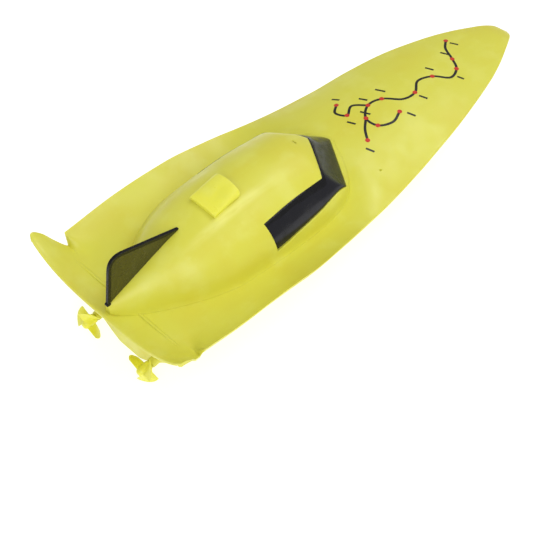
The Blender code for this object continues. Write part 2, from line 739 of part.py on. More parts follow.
def make_equipment(materials):
    aft, fore, half, foot, top = TRAY
    tray = add_object("equipment_tray", block(aft, fore, -half, half, foot, top), materials["grey"])
    for label, side in (("port", 1), ("starboard", -1)):
        sides = sorted((side * half, side * (half - 1.6)))
        fuse(tray, add_object(f"tray_lip_{label}", block(aft, fore, *sides, foot + 0.5, top + TRAY_LIP)))
    for number, station in enumerate((aft + 8, fore - 14), 1):
        leg = [(-14, foot + 0.6), (-5, 3.2), (5, 3.2), (14, foot + 0.6)]
        fuse(tray, add_object(f"tray_leg_{number}", prism(leg, station, station + 4, lengthwise)))
    for number, station in enumerate((BOARD[0] + 4, BOARD[1] - 4), 1):
        for label, side in (("port", 10), ("starboard", -10)):
            post = prism(circle((station, side), 2.0, 12), top - 1, BOARD[3] - GAP, upright)
            fuse(tray, add_object(f"board_post_{number}_{label}", post))

    aft, fore, half, foot, top = BATTERY
    ends = rounded_rectangle((0, (foot + top) / 2), (2 * half, top - foot), 6)
    add_object("battery_pack", prism(ends, aft, fore, lengthwise), materials["blue"])

    aft, fore, half, foot, top = BOARD
    board = add_object("receiver_board", block(aft, fore, -half, half, foot, top), materials["green"])
    fuse(board, add_object("main_chip", block(aft + 12, aft + 22, -5, 5, top - 0.8, top + 1.6)))
    fuse(board, add_object("lead_socket", block(aft + 2, aft + 8, -8, 8, top - 0.8, top + 5)))
    fuse(board, add_object("capacitor", prism(circle((fore - 6, 7), 3.2, 16), top - 0.8, top + 7, upright)))


def make_contacts(materials, hull):
    """Two metal studs in the bottom, which let the motors run only in water."""
    for label, side in (("port", CONTACT_SIDE), ("starboard", -CONTACT_SIDE)):
        centre = (CONTACT_STATION, side)
        stud = add_object(
            f"water_contact_{label}", prism(circle(centre, 2, 16), 1.0, 9.0, upright), materials["steel"],
        )
        fuse(stud, add_object(f"contact_nut_{label}", prism(circle(centre, 3.4, 6), 6.6, 8.4, upright)))
        cut(hull, add_object(f"contact_hole_{label}", prism(circle(centre, 2.3, 16), -2, 6, upright)))


def make_leads(materials):
    tube_through(
        "battery_lead", [(162.6, 6, 28), (166, 6.6, 30), (170, 5, 32), (172.6, 3, 30), (173, 3, 26.5)],
        LEAD_RADIUS, materials["red"],
    )
    for label, hand in (("port", 1), ("starboard", -1)):
        route = [
            (95.2, hand * 24, 25.4), (98, hand * 25.2, 27), (104, hand * 25.4, 28), (130, hand * 25.4, 27.4),
            (155, hand * 25, 27), (166, hand * 19, 30), (171, hand * 8, 31), (173, hand * 5.4, 29.4),
            (173, hand * 5.4, 26.5),
        ]
        tube_through(f"motor_lead_{label}", route, LEAD_RADIUS, materials["black"])
    tube_through(
        "antenna_wire", [(200, -7, 21.6), (203, -7, 26), (210, -5, 31), (226, 2, 34), (246, 6, 37), (262, 4, 39)],
        0.7, materials["black"],
    )


def clear_scene():
    for thing in list(bpy.data.objects):
        bpy.data.objects.remove(thing)


def main():
    clear_scene()
    materials = {
        "yellow": make_material("hull_yellow", YELLOW, 0.42),
        "bright": make_material("bright_yellow", BRIGHT_YELLOW, 0.38),
        "smoke": make_material("smoked_plastic", SMOKE, 0.12),
        "grey": make_material("grey_plastic", (0.28, 0.29, 0.30), 0.5),
        "black": make_material("black_plastic", (0.02, 0.02, 0.02), 0.45),
        "red": make_material("red_plastic", (0.62, 0.03, 0.02), 0.4),
        "blue": make_material("battery_blue", (0.03, 0.12, 0.45), 0.35),
        "green": make_material("board_green", (0.02, 0.22, 0.09), 0.4),
        "rubber": make_material("seal_rubber", (0.03, 0.03, 0.03), 0.8),
        "steel": make_material("steel", (0.6, 0.61, 0.62), 0.3, 1.0),
    }
    hull = make_hull(materials["yellow"])
    deck = make_deck(materials["yellow"])
    canopy_axis = add_axis("canopy_axis", (HATCH_CENTRE, 0, LIP_HEIGHT))
    make_canopy(materials["yellow"], canopy_axis)
    visor = visor_patch(0, GAP - VISOR_RECESS, -GAP)
    add_object("visor", visor, materials["smoke"], canopy_axis)
    make_fin(materials["smoke"], canopy_axis)
    make_scoop(materials["bright"], canopy_axis)
    make_hatch(materials, deck)
    make_switch(materials)
    bulkhead = make_bulkhead(materials["grey"])
    for side_name, hand in (("port", 1), ("starboard", -1)):
        make_drive(side_name, hand, materials, hull, bulkhead)
    make_equipment(materials)
    make_contacts(materials, hull)
    make_leads(materials)


main()
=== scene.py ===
"""Looks of a radio-controlled speed boat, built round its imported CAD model.

Lengths are in millimetres and become metres where a mesh is made. A point is (station, side, height):
stations run forward from the stern lip, sides run to port, heights run up from the flat of the keel.
"""

import math

import bmesh
import bpy
import numpy as np
from mathutils import Matrix, Vector


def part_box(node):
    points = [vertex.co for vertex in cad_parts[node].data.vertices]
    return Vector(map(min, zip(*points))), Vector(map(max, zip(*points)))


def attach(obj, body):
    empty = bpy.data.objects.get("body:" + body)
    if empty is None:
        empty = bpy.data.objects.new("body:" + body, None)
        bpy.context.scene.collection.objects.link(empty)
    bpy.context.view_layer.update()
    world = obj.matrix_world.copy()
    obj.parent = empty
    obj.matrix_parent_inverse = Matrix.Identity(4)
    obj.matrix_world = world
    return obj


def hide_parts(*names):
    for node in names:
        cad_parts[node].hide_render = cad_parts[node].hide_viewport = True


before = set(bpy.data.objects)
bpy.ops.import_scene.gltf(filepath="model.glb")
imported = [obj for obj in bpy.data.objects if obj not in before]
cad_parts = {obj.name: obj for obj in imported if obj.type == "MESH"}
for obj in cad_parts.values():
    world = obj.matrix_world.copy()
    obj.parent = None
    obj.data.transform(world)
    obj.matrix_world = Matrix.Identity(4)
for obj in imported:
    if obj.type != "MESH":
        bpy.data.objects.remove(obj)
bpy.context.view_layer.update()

MM = 0.001

# ---- Lines of the boat ----
# These are the CAD model's, apart from the wings, which are narrower and higher near the notch.
# GAP is the clearance between mouldings that fit together.
GAP = 0.3
LENGTH = 338.5
NOTCH = 20.0
TRANSOM = 15.0
LIP_HEIGHT = 43.5
NOSE_START = 333.0
WING_HALF_BREADTH = [
    (0, 63.2), (0.8, 64.5), (2.2, 65), (6, 64.4), (12, 61.8), (20, 56.6), (27, 55), (38, 55),
]
WING_EDGE_HEIGHT = [(0, 57.8), (2.2, 59), (8, 54.8), (14, 47.2), (20, 41.2), (27, 38), (38, 37.6)]
WING_FULLNESS = [(0, 3.6), (20, 5)]
HALF_BREADTH = [
    (20, 60.5), (60, 62.5), (100, 62.4), (130, 59.5), (160, 55), (205, 47.8),
    (250, 39.8), (290, 28.6), (308, 21.4), (318, 16.4), (326, 12.2), (331.7, 8.8), (335.3, 6),
    (337.6, 3.6), (338.5, 2.2),
]
EDGE_HEIGHT = [
    (20, 49), (40, 50.1), (80, 52.1), (130, 50.1), (175, 47.2), (205, 48.6), (235, 52.6),
    (270, 55.8), (305, 56.4), (325, 56), (333, 54.6), (338.5, 51),
]
CENTRE_HEIGHT = [
    (0, 43.8), (10, 41.4), (20, 40.4), (50, 42.8), (60, 43.5), (135, 43.5), (150, 47), (177, 59),
    (200, 61), (235, 62), (275, 61), (305, 59), (325, 57.2), (333, 55.2), (338.5, 51.2),
]
FULLNESS = [(20, 5), (60, 4.6), (120, 4.6), (150, 4), (185, 2.2), (338.5, 2.2)]
SEAM_HEIGHT = [
    (20, 36.6), (40, 39.5), (80, 44.5), (130, 45.4), (175, 43.2), (205, 44.4),
    (235, 48.4), (270, 51.4), (305, 51.8), (325, 51), (333, 49), (338.5, 46),
]
DECK_SKIN = [(0, 3.2), (3, 3.2), (9, 1.8), (338.5, 1.8)]
SKIRT_LEAN = 0.62
HULL_SIDE_WALL, HULL_BOTTOM_WALL = 2.6, 2.0
KEEL_HEIGHT = [(15, 0), (215, 0), (250, 2.6), (280, 9), (305, 18.5), (325, 32), (333, 39), (338.5, 44)]
KEEL_PAD = [(15, 8), (215, 8), (260, 5), (310, 2), (338.5, 0.3)]
SECTION_POWER = 1.64
CANOPY_HALF_WIDTH = [
    (3, 1.8), (10, 7.4), (20, 12.8), (38, 23.4), (56, 32.4), (75, 36.8), (110, 37.5), (140, 36.2),
    (150, 35), (158, 32.4), (164, 27.2), (170, 17.6), (175, 7.6), (178, 2),
]
RIDGE_HEIGHT = [
    (3, 49.2), (20, 56.8), (56, 71.2), (74, 75), (93, 78.4), (120, 80.8), (142, 79.4),
    (156, 75.2), (167, 67.6), (178, 60.4),
]
CANOPY_WALL = 2.4
CANOPY_FOOT_FLARE = 1.3
CANOPY_SLOT_CENTRE, CANOPY_SLOT_SIZE = (146.2, 0.2), (1.1, 3.8)
BROW_STATION, BROW_HEIGHT = 157.3, 76.8
BROW_FALL = (0.729, 0.609)
VISOR_LOWER = [(175.6, 0), (158.7, 31.0), (98, 36.5)]
VISOR_UPPER = [(157.3, 0), (143.8, 25.7), (95.8, 27.9)]
VISOR_BOW = 1.3
VISOR_RECESS = 1.6
FIN_AFT_FOOT = (2.6, 50.2)
FIN_AFT_TOP = (6.4, 85.2)
FIN_TIP = (56, 72.6)
FIN_CORNER_RADIUS = 11.0
FIN_HALF_PANEL, FIN_HALF_RIM = 0.65, 1.0
FIN_RIM_WIDTH = 2.3
FIN_FOOT_CENTRE, FIN_FOOT_SIZE = (3.4, 50.0), (3.0, 1.9)
FIN_HALF_FOOT = 1.2
SCOOP_AFT, SCOOP_FORE = 74.0, 93.5
SCOOP_HALF_WIDTH = 10.3
SCOOP_BACK_HEIGHT, SCOOP_RISE = 2.4, 3.6
SCOOP_WALL = 1.3
HATCH_CENTRE = 101.0
HATCH_OPENING = (60.0, 38.0)
PIN_HOLE_CENTRE, PIN_HOLE_RADIUS = (184.2, -34.4), 0.6
HUB = (5.8, 24.0, 12.3)
SHAFT_RISE = math.radians(8)
BLADE_TURN = {"port": math.radians(-13), "starboard": math.radians(-100)}
BLADE_RADIUS = 11.0
BLADE_ROOT = 1.9
BLADE_HALF_ANGLE = math.radians(32)
BLADE_HALF_PITCH = 3.8
BLADE_HALF_THICKNESS = 0.62
HUB_PROFILE = [(-4.4, 1.1), (-4.1, 1.8), (-3.4, 2.4), (-2.2, 2.8), (-1, 2.9), (4.1, 2.9), (4.4, 2.6)]
TUBE_PROFILE = [(4.8, 2.3), (4.9, 2.6), (5.2, 2.9), (5.6, 3.0), (38, 3.0)]
TUBE_BORE = 1.3
PRINT_LINE, PRINT_BAR, PRINT_DOT = 1.6, 1.3, 1.5

# ---- Looks ----
LEMON = (0.74, 0.72, 0.080)
LEMON_WARM = (0.72, 0.64, 0.050)
LEMON_PALE = (0.80, 0.80, 0.17)
SCOOP_YELLOW = (0.90, 0.87, 0.08)
# The pale streak along the canopy's starboard shoulder, set by the next two lines, is a painted
# highlight.
HIGHLIGHT_PALE = (0.90, 0.88, 0.24)
HIGHLIGHT_CENTRE, HIGHLIGHT_REACH = (-84, -13), (46, 4.5)

# ---- View ----
CAMERA_DEPRESSION = math.radians(47.8)
CAMERA_HEADING = math.radians(43.8)
CAMERA_TARGET = (89.56, -35.92, LIP_HEIGHT)
CAMERA_DISTANCE = 0.9
CAMERA_LENS, CAMERA_SENSOR = 107.4, 36


def fair(line, station):
    """Value of a smooth curve through a line's points, without overshoot between them."""
    knots, values = np.array(line, float).T
    slopes = np.diff(values) / np.diff(knots)
    before, after = slopes[:-1], slopes[1:]
    same_way = before * after > 0
    total = np.where(same_way, before + after, 1.0)
    inner = np.where(same_way, 2 * before * after / total, 0.0)
    tangents = np.concatenate([slopes[:1], inner, slopes[-1:]])
    x = np.clip(station, knots[0], knots[-1])
    index = np.clip(np.searchsorted(knots, x) - 1, 0, len(slopes) - 1)
    span = knots[index + 1] - knots[index]
    u = (x - knots[index]) / span
    rise = (2 * u ** 3 - 3 * u ** 2 + 1) * values[index] + (3 * u ** 2 - 2 * u ** 3) * values[index + 1]
    lean = (u ** 3 - 2 * u ** 2 + u) * tangents[index] + (u ** 3 - u ** 2) * tangents[index + 1]
    return rise + span * lean


def smoothstep(u):
    u = np.clip(u, 0, 1)
    return u * u * (3 - 2 * u)


# ---- Shapes of the deck, hull and canopy ----
def half_breadth(station, wing=False):
    return fair(WING_HALF_BREADTH if wing or station <= NOTCH else HALF_BREADTH, station)


def edge_height(station, wing=False):
    return fair(WING_EDGE_HEIGHT if wing or station <= NOTCH else EDGE_HEIGHT, station)


def deck_height(station, side, wing=False):
    """Top of the deck: a dished tray aft that turns into a crowned foredeck."""
    centre = fair(CENTRE_HEIGHT, station)
    across = np.minimum(np.abs(side) / half_breadth(station, wing), 1.0)
    fullness = fair(WING_FULLNESS if wing or station <= NOTCH else FULLNESS, station)
    return centre + (edge_height(station, wing) - centre) * across ** fullness


def skirt_foot(station, wing=False):
    """Side and height of the lower edge of the deck's skirt."""
    edge = edge_height(station, wing)
    if wing or station <= NOTCH:
        return half_breadth(station, wing) - 0.3, edge - fair(DECK_SKIN, station)
    seam = fair(SEAM_HEIGHT, station)
    breadth = half_breadth(station)
    return breadth - min(SKIRT_LEAN * (edge - seam), 0.3 * breadth), seam


def mirror_section(half):
    """A whole section from its port half, which ends on the centreline."""
    return np.concatenate([half, (half * (1, -1, 1))[-2::-1]])


def deck_halves(station, wing=False):
    """Outer and inner port half-section of the deck, from the skirt's foot to the centreline."""
    breadth, edge = half_breadth(station, wing), edge_height(station, wing)
    foot_side, foot = skirt_foot(station, wing)
    skin = fair(DECK_SKIN, station)
    thin = min(1.0 if wing or station <= NOTCH else skin, 0.3 * breadth)
    rim = min(1.8, 0.3 * breadth)
    drop = min(1.8, 0.45 * (edge - foot))
    low = np.array((breadth - (breadth - foot_side) * drop / (edge - foot), edge - drop))
    high = np.array((breadth - rim, deck_height(station, breadth - rim, wing)))
    tip = np.array((breadth + 0.3, edge + 0.5))
    rise = np.linspace(0, 1, 5)[:-1, None]
    skirt = np.array((foot_side, foot)) * (1 - rise) + low * rise
    turn = np.linspace(0, 1, 9)[:-1, None]
    bend = low * (1 - turn) ** 2 + tip * 2 * turn * (1 - turn) + high * turn ** 2
    share = 1 - np.linspace(0, 1, 44) ** 1.25
    sides = (breadth - rim) * share
    top = np.stack([sides, deck_height(station, sides, wing)], axis=1)
    outer = np.concatenate([skirt, bend, top])
    inward = np.concatenate([np.full(len(skirt) + len(bend), thin), thin * share])
    downward = skin * np.concatenate([0.3 * rise[:, 0], 0.3 + 0.7 * turn[:, 0], np.ones(len(top))])
    inner = outer - np.stack([inward, downward], axis=1)
    ahead = np.full((len(outer), 1), float(station))
    return np.hstack([ahead, outer]), np.hstack([ahead, inner])


def nose_stations(count, reach=5.6):
    """Stations that gather towards the stem, and the share of the breadth left at each."""
    turn = np.linspace(0, math.radians(87), count)[1:]
    return NOSE_START + reach * np.sin(turn), np.cos(turn) ** 0.35


def fold(section, level):
    """The last section of a shell folded onto the rim that closes its end."""
    reach = abs(section[0, 1])
    closed = section.copy()
    closed[:, 1] = np.clip(closed[:, 1], -reach, reach)
    closed[:, 2] = level(closed)
    return closed


def deck_rows():
    stations = np.concatenate([np.arange(0, NOTCH, 0.8), [NOTCH]])
    outer, inner = map(list, zip(*[deck_halves(x) for x in stations]))
    steps = np.concatenate([[0.3, 0.65, 1.1], np.arange(1.8, 17, 1.2)])
    for x in NOTCH + steps:
        for rows, wing, body in zip((outer, inner), deck_halves(x, wing=True), deck_halves(x)):
            across = body[:, 1] / body[:, 1].max()
            reach = 16.0 - 14.9 * smoothstep((across - 0.70) / 0.28)
            share = smoothstep((x - NOTCH) / reach)[:, None]
            row = wing * (1 - share) + body * share
            row[:, 0] = x
            rows.append(row)
    for x in np.concatenate([np.arange(NOTCH + 17.6, NOSE_START, 1.6), [NOSE_START]]):
        for rows, half in zip((outer, inner), deck_halves(x)):
            rows.append(half)
    for x, share in zip(*nose_stations(14)):
        for rows, half in zip((outer, inner), deck_halves(x)):
            rows.append(half * (1, share, 1))
    outer = [mirror_section(half) for half in outer]
    inner = [mirror_section(half) for half in inner]
    for rows in (outer, inner):
        rows.append(fold(rows[-1], lambda row: row[0, 2]))
    return np.array(outer), np.array(inner)


def hull_halves(station, inset=0.0):
    """Outer and inner port half-section of the hull, from its upper edge to the keel."""
    halves = []
    for side_wall, bottom_wall in ((inset, inset), (HULL_SIDE_WALL, HULL_BOTTOM_WALL)):
        ahead = max(station, NOTCH + 0.2)
        top_side = max(skirt_foot(ahead)[0] - 0.1 - side_wall, 0.2)
        if station <= NOTCH:
            top = deck_height(station, top_side) - fair(DECK_SKIN, station) - 2 * GAP
        else:
            top = fair(SEAM_HEIGHT, station) - GAP
        keel = min(fair(KEEL_HEIGHT, station) + bottom_wall, top - 0.4)
        pad = min(fair(KEEL_PAD, station), 0.6 * top_side)
        turn = np.linspace(0, math.pi / 2, 40)
        side = pad + (top_side - pad) * np.abs(np.cos(turn)) ** SECTION_POWER
        height = top + (keel - top) * np.sin(turn) ** SECTION_POWER
        side = np.append(side, 0.0)
        height = np.append(height, keel)
        halves.append(np.stack([np.full(len(side), float(station)), side, height], axis=1))
    return halves


def hull_rows():
    ends = [(TRANSOM, 1.0), (TRANSOM + 0.2, 0.5), (TRANSOM + 0.6, 0.15), (TRANSOM + 1.2, 0.0)]
    stations = ends + [(x, 0.0) for x in np.arange(TRANSOM + 2, NOSE_START, 2.0)] + [(NOSE_START, 0.0)]
    outer, inner = map(list, zip(*[hull_halves(x, inset) for x, inset in stations]))
    for x, share in zip(*nose_stations(10, reach=5.2)):
        for rows, half in zip((outer, inner), hull_halves(x)):
            row = half * (1, share, 1)
            row[:, 0] = x if rows is outer else min(x, 335.5)
            rows.append(row)
    for row in inner[:len(ends) + 1]:
        row[:, 0] = np.maximum(row[:, 0], TRANSOM + 2)
    outer = [mirror_section(half) for half in outer]
    inner = [mirror_section(half) for half in inner]
    for rows in (outer, inner):
        level = rows[0][0, 2]
        rows.insert(0, fold(rows[0], lambda row: level))
        rows.append(fold(rows[-1], lambda row: row[0, 2]))
    return np.array(outer), np.array(inner)


def under_brow(station, side, height, base, soft=1.2):
    """Height of the canopy where its front is pared down to two flat faces, one to each side."""
    face = BROW_HEIGHT - BROW_FALL[0] * (station - BROW_STATION) - BROW_FALL[1] * np.abs(side)
    blend = np.clip(0.5 + 0.5 * (face - height) / soft, 0, 1)
    pared = face * (1 - blend) + height * blend - soft * blend * (1 - blend)
    return np.maximum(pared, base)


def canopy_height(station, side):
    """Outer surface of the canopy above a plan point."""
    half_width = fair(CANOPY_HALF_WIDTH, station)
    base = deck_height(station, half_width) + GAP
    across = np.minimum(np.abs(side) / half_width, 1.0)
    height = base + (fair(RIDGE_HEIGHT, station) - base) * np.sqrt(1 - across ** 2)
    return under_brow(station, side, height, base)


def canopy_normal(station, side, step=0.2):
    """Outward direction of the canopy, from its slopes over a short step."""
    along = (canopy_height(station + step, side) - canopy_height(station - step, side)) / (2 * step)
    across = (canopy_height(station, side + step) - canopy_height(station, side - step)) / (2 * step)
    normal = np.array((-along, -across, 1.0))
    return normal / np.linalg.norm(normal)


def canopy_section(station, wall):
    """Section of the canopy a wall's thickness in; the outer one flares a little at its foot."""
    half_width = max(fair(CANOPY_HALF_WIDTH, station) - wall, 0.5)
    base = deck_height(station, half_width) + GAP
    ridge = max(fair(RIDGE_HEIGHT, station) - wall, base + 0.5)
    u = np.linspace(0, 1, 111)
    turn = math.pi * (u - 0.11 * np.sin(2 * math.pi * u))
    side = half_width * np.cos(turn)
    sunk = 1.6 * wall
    height = under_brow(station, side, base + (ridge - base) * np.sin(turn) + sunk, base) - sunk
    if wall:
        height = np.maximum(height, base)
    else:
        flare = min(CANOPY_FOOT_FLARE, 0.1 * half_width)
        side += np.sign(side) * flare * np.exp((base - height) / 1.8)
    return np.stack([np.full(len(u), float(station)), side, height], axis=1)


def canopy_rows():
    shared = np.arange(14.5, 164, 1.5)
    outer_ends = np.array([3, 3.4, 4.2, 5.5, 7, 9, 11, 13])
    inner_ends = np.array([9, 9.6, 10.2, 10.9, 11.6, 12.4, 13.1, 13.8])
    outer_nose = np.concatenate([np.linspace(165, 175, 9), [176, 176.8, 177.4, 177.8, 178]])
    inner_nose = np.linspace(165, 174.5, len(outer_nose))
    outer = [canopy_section(x, 0) for x in np.concatenate([outer_ends, shared, outer_nose])]
    inner = [canopy_section(x, CANOPY_WALL) for x in np.concatenate([inner_ends, shared, inner_nose])]
    for rows in (outer, inner):
        for at, spot in ((0, 0), (len(rows) + 1, -1)):
            station = rows[spot][0, 0]
            rows.insert(at, fold(rows[spot], lambda row: deck_height(station, row[:, 1]) + GAP))
    return np.array(outer), np.array(inner)


# ---- Mesh making ----
def to_world(points):
    return (np.asarray(points, float) - (LENGTH / 2, 0, 0)) * MM


def finish_piece(name, shape, material, body, stands_for=(), angle=40):
    """A smooth-shaded piece from points in millimetres and faces, riding on a CAD body."""
    verts, faces = shape
    data = bpy.data.meshes.new(name)
    data.from_pydata(to_world(verts).tolist(), [], faces)
    data.validate()
    mesh = bmesh.new()
    mesh.from_mesh(data)
    bmesh.ops.remove_doubles(mesh, verts=mesh.verts, dist=0.002 * MM)
    bmesh.ops.recalc_face_normals(mesh, faces=mesh.faces)
    mesh.to_mesh(data)
    mesh.free()
    data.shade_smooth()
    data.set_sharp_from_angle(angle=math.radians(angle))
    piece = bpy.data.objects.new(name, data)
    bpy.context.scene.collection.objects.link(piece)
    if material:
        for item in material if isinstance(material, (list, tuple)) else [material]:
            data.materials.append(item)
    if body:
        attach(piece, body)
    if stands_for:
        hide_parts(*stands_for)
    return piece


def rim_loop(rows, columns):
    """Row and column of each point round a grid's edge, with its neighbour one step inside."""
    near = [(0, j, 1, j) for j in range(columns - 1)]
    right = [(i, columns - 1, i, columns - 2) for i in range(rows - 1)]
    far = [(rows - 1, j, rows - 2, j) for j in range(columns - 1, 0, -1)]
    left = [(i, 0, i, 1) for i in range(rows - 1, 0, -1)]
    return np.array(near + right + far + left)


def shell_mesh(outer, inner, bulge=0.35):
    """Points and faces of a closed shell between two grids, with a rounded rim all round."""
    rows, columns = outer.shape[:2]
    index = np.arange(rows * columns).reshape(rows, columns)
    corners = [index[:-1, :-1], index[:-1, 1:], index[1:, 1:], index[1:, :-1]]
    quads = np.stack(corners, axis=-1).reshape(-1, 4)
    loop = rim_loop(rows, columns)
    here = tuple(loop[:, :2].T)
    inside = tuple(loop[:, 2:].T)
    outward = (outer[here] - outer[inside]) + (inner[here] - inner[inside])
    length = np.linalg.norm(outward, axis=1, keepdims=True)
    outward = outward / np.maximum(length, 1e-6)
    thickness = np.linalg.norm(inner[here] - outer[here], axis=1, keepdims=True)
    points = [outer.reshape(-1, 3), inner.reshape(-1, 3)]
    rings = [index[here]]
    start = 2 * rows * columns
    for share in (0.08, 0.25, 0.5, 0.75, 0.92):
        level = outer[here] * (1 - share) + inner[here] * share
        points.append(level + outward * thickness * bulge * math.sin(math.pi * share) ** 0.6)
        rings.append(start + np.arange(len(loop)))
        start += len(loop)
    rings.append(index[here] + rows * columns)
    strips = [np.stack([a, np.roll(a, -1), np.roll(b, -1), b], axis=1) for a, b in zip(rings, rings[1:])]
    faces = np.concatenate([quads, quads[:, ::-1] + rows * columns] + strips)
    return np.concatenate(points), faces.tolist()


def prism_mesh(outline, low, high, place):
    """A closed outline of (a, b) points extruded from low to high."""
    count = len(outline)
    verts = [place(a, b, depth) for depth in (low, high) for a, b in outline]
    faces = [list(range(count))[::-1], list(range(count, 2 * count))]
    faces += [[k, (k + 1) % count, count + (k + 1) % count, count + k] for k in range(count)]
    return verts, faces


def turned_mesh(profile, place, sides=48):
    """A profile of (along, radius) points turned about an axis, closed at both ends."""
    verts = []
    for along, radius in profile:
        for k in range(sides):
            angle = 2 * math.pi * k / sides
            verts.append(place(along, radius * math.cos(angle), radius * math.sin(angle)))
    faces = [list(range(sides))[::-1], list(range((len(profile) - 1) * sides, len(profile) * sides))]
    for low in range(0, (len(profile) - 1) * sides, sides):
        for k in range(sides):
            ahead = (k + 1) % sides
            faces.append([low + k, low + ahead, low + sides + ahead, low + sides + k])
    return verts, faces


def on_shaft(hand):
    """A function that takes (along, across, up) on a shaft's axis to a point of the boat."""
    turn = Matrix.Rotation(-SHAFT_RISE, 3, 'Y')
    origin = Vector((HUB[0], hand * HUB[1], HUB[2]))
    return lambda along, across, up: tuple(turn @ Vector((along, across, up)) + origin)


def upright(a, b, depth):
    return a, b, depth


def sideways(a, b, depth):
    return a, depth, b


def rounded_rectangle(centre, size, radius, steps=10):
    outline = []
    for turn, (sx, sy) in enumerate(((1, 1), (-1, 1), (-1, -1), (1, -1))):
        corner_x = centre[0] + sx * (size[0] / 2 - radius)
        corner_y = centre[1] + sy * (size[1] / 2 - radius)
        for k in range(steps + 1):
            angle = math.radians(90) * (turn + k / steps)
            outline.append((corner_x + radius * math.cos(angle), corner_y + radius * math.sin(angle)))
    return outline


def add_cutter(name, shape, body="hull_assembly"):
    """A mesh that only cuts others."""
    cutter = finish_piece(name, shape, None, body)
    cutter.hide_render = True
    cutter.display_type = 'WIRE'
    return cutter


def cut(piece, cutter):
    modifier = piece.modifiers.new(cutter.name, 'BOOLEAN')
    modifier.operation = 'DIFFERENCE'
    modifier.object = cutter
    modifier.solver = 'EXACT'


def soften(piece, width, segments=3, angle=35):
    """Small rounded edges, as every moulded or machined piece has."""
    modifier = piece.modifiers.new("edges", 'BEVEL')
    modifier.width = width * MM
    modifier.segments = segments
    modifier.limit_method = 'ANGLE'
    modifier.angle_limit = math.radians(angle)
    modifier.harden_normals = True


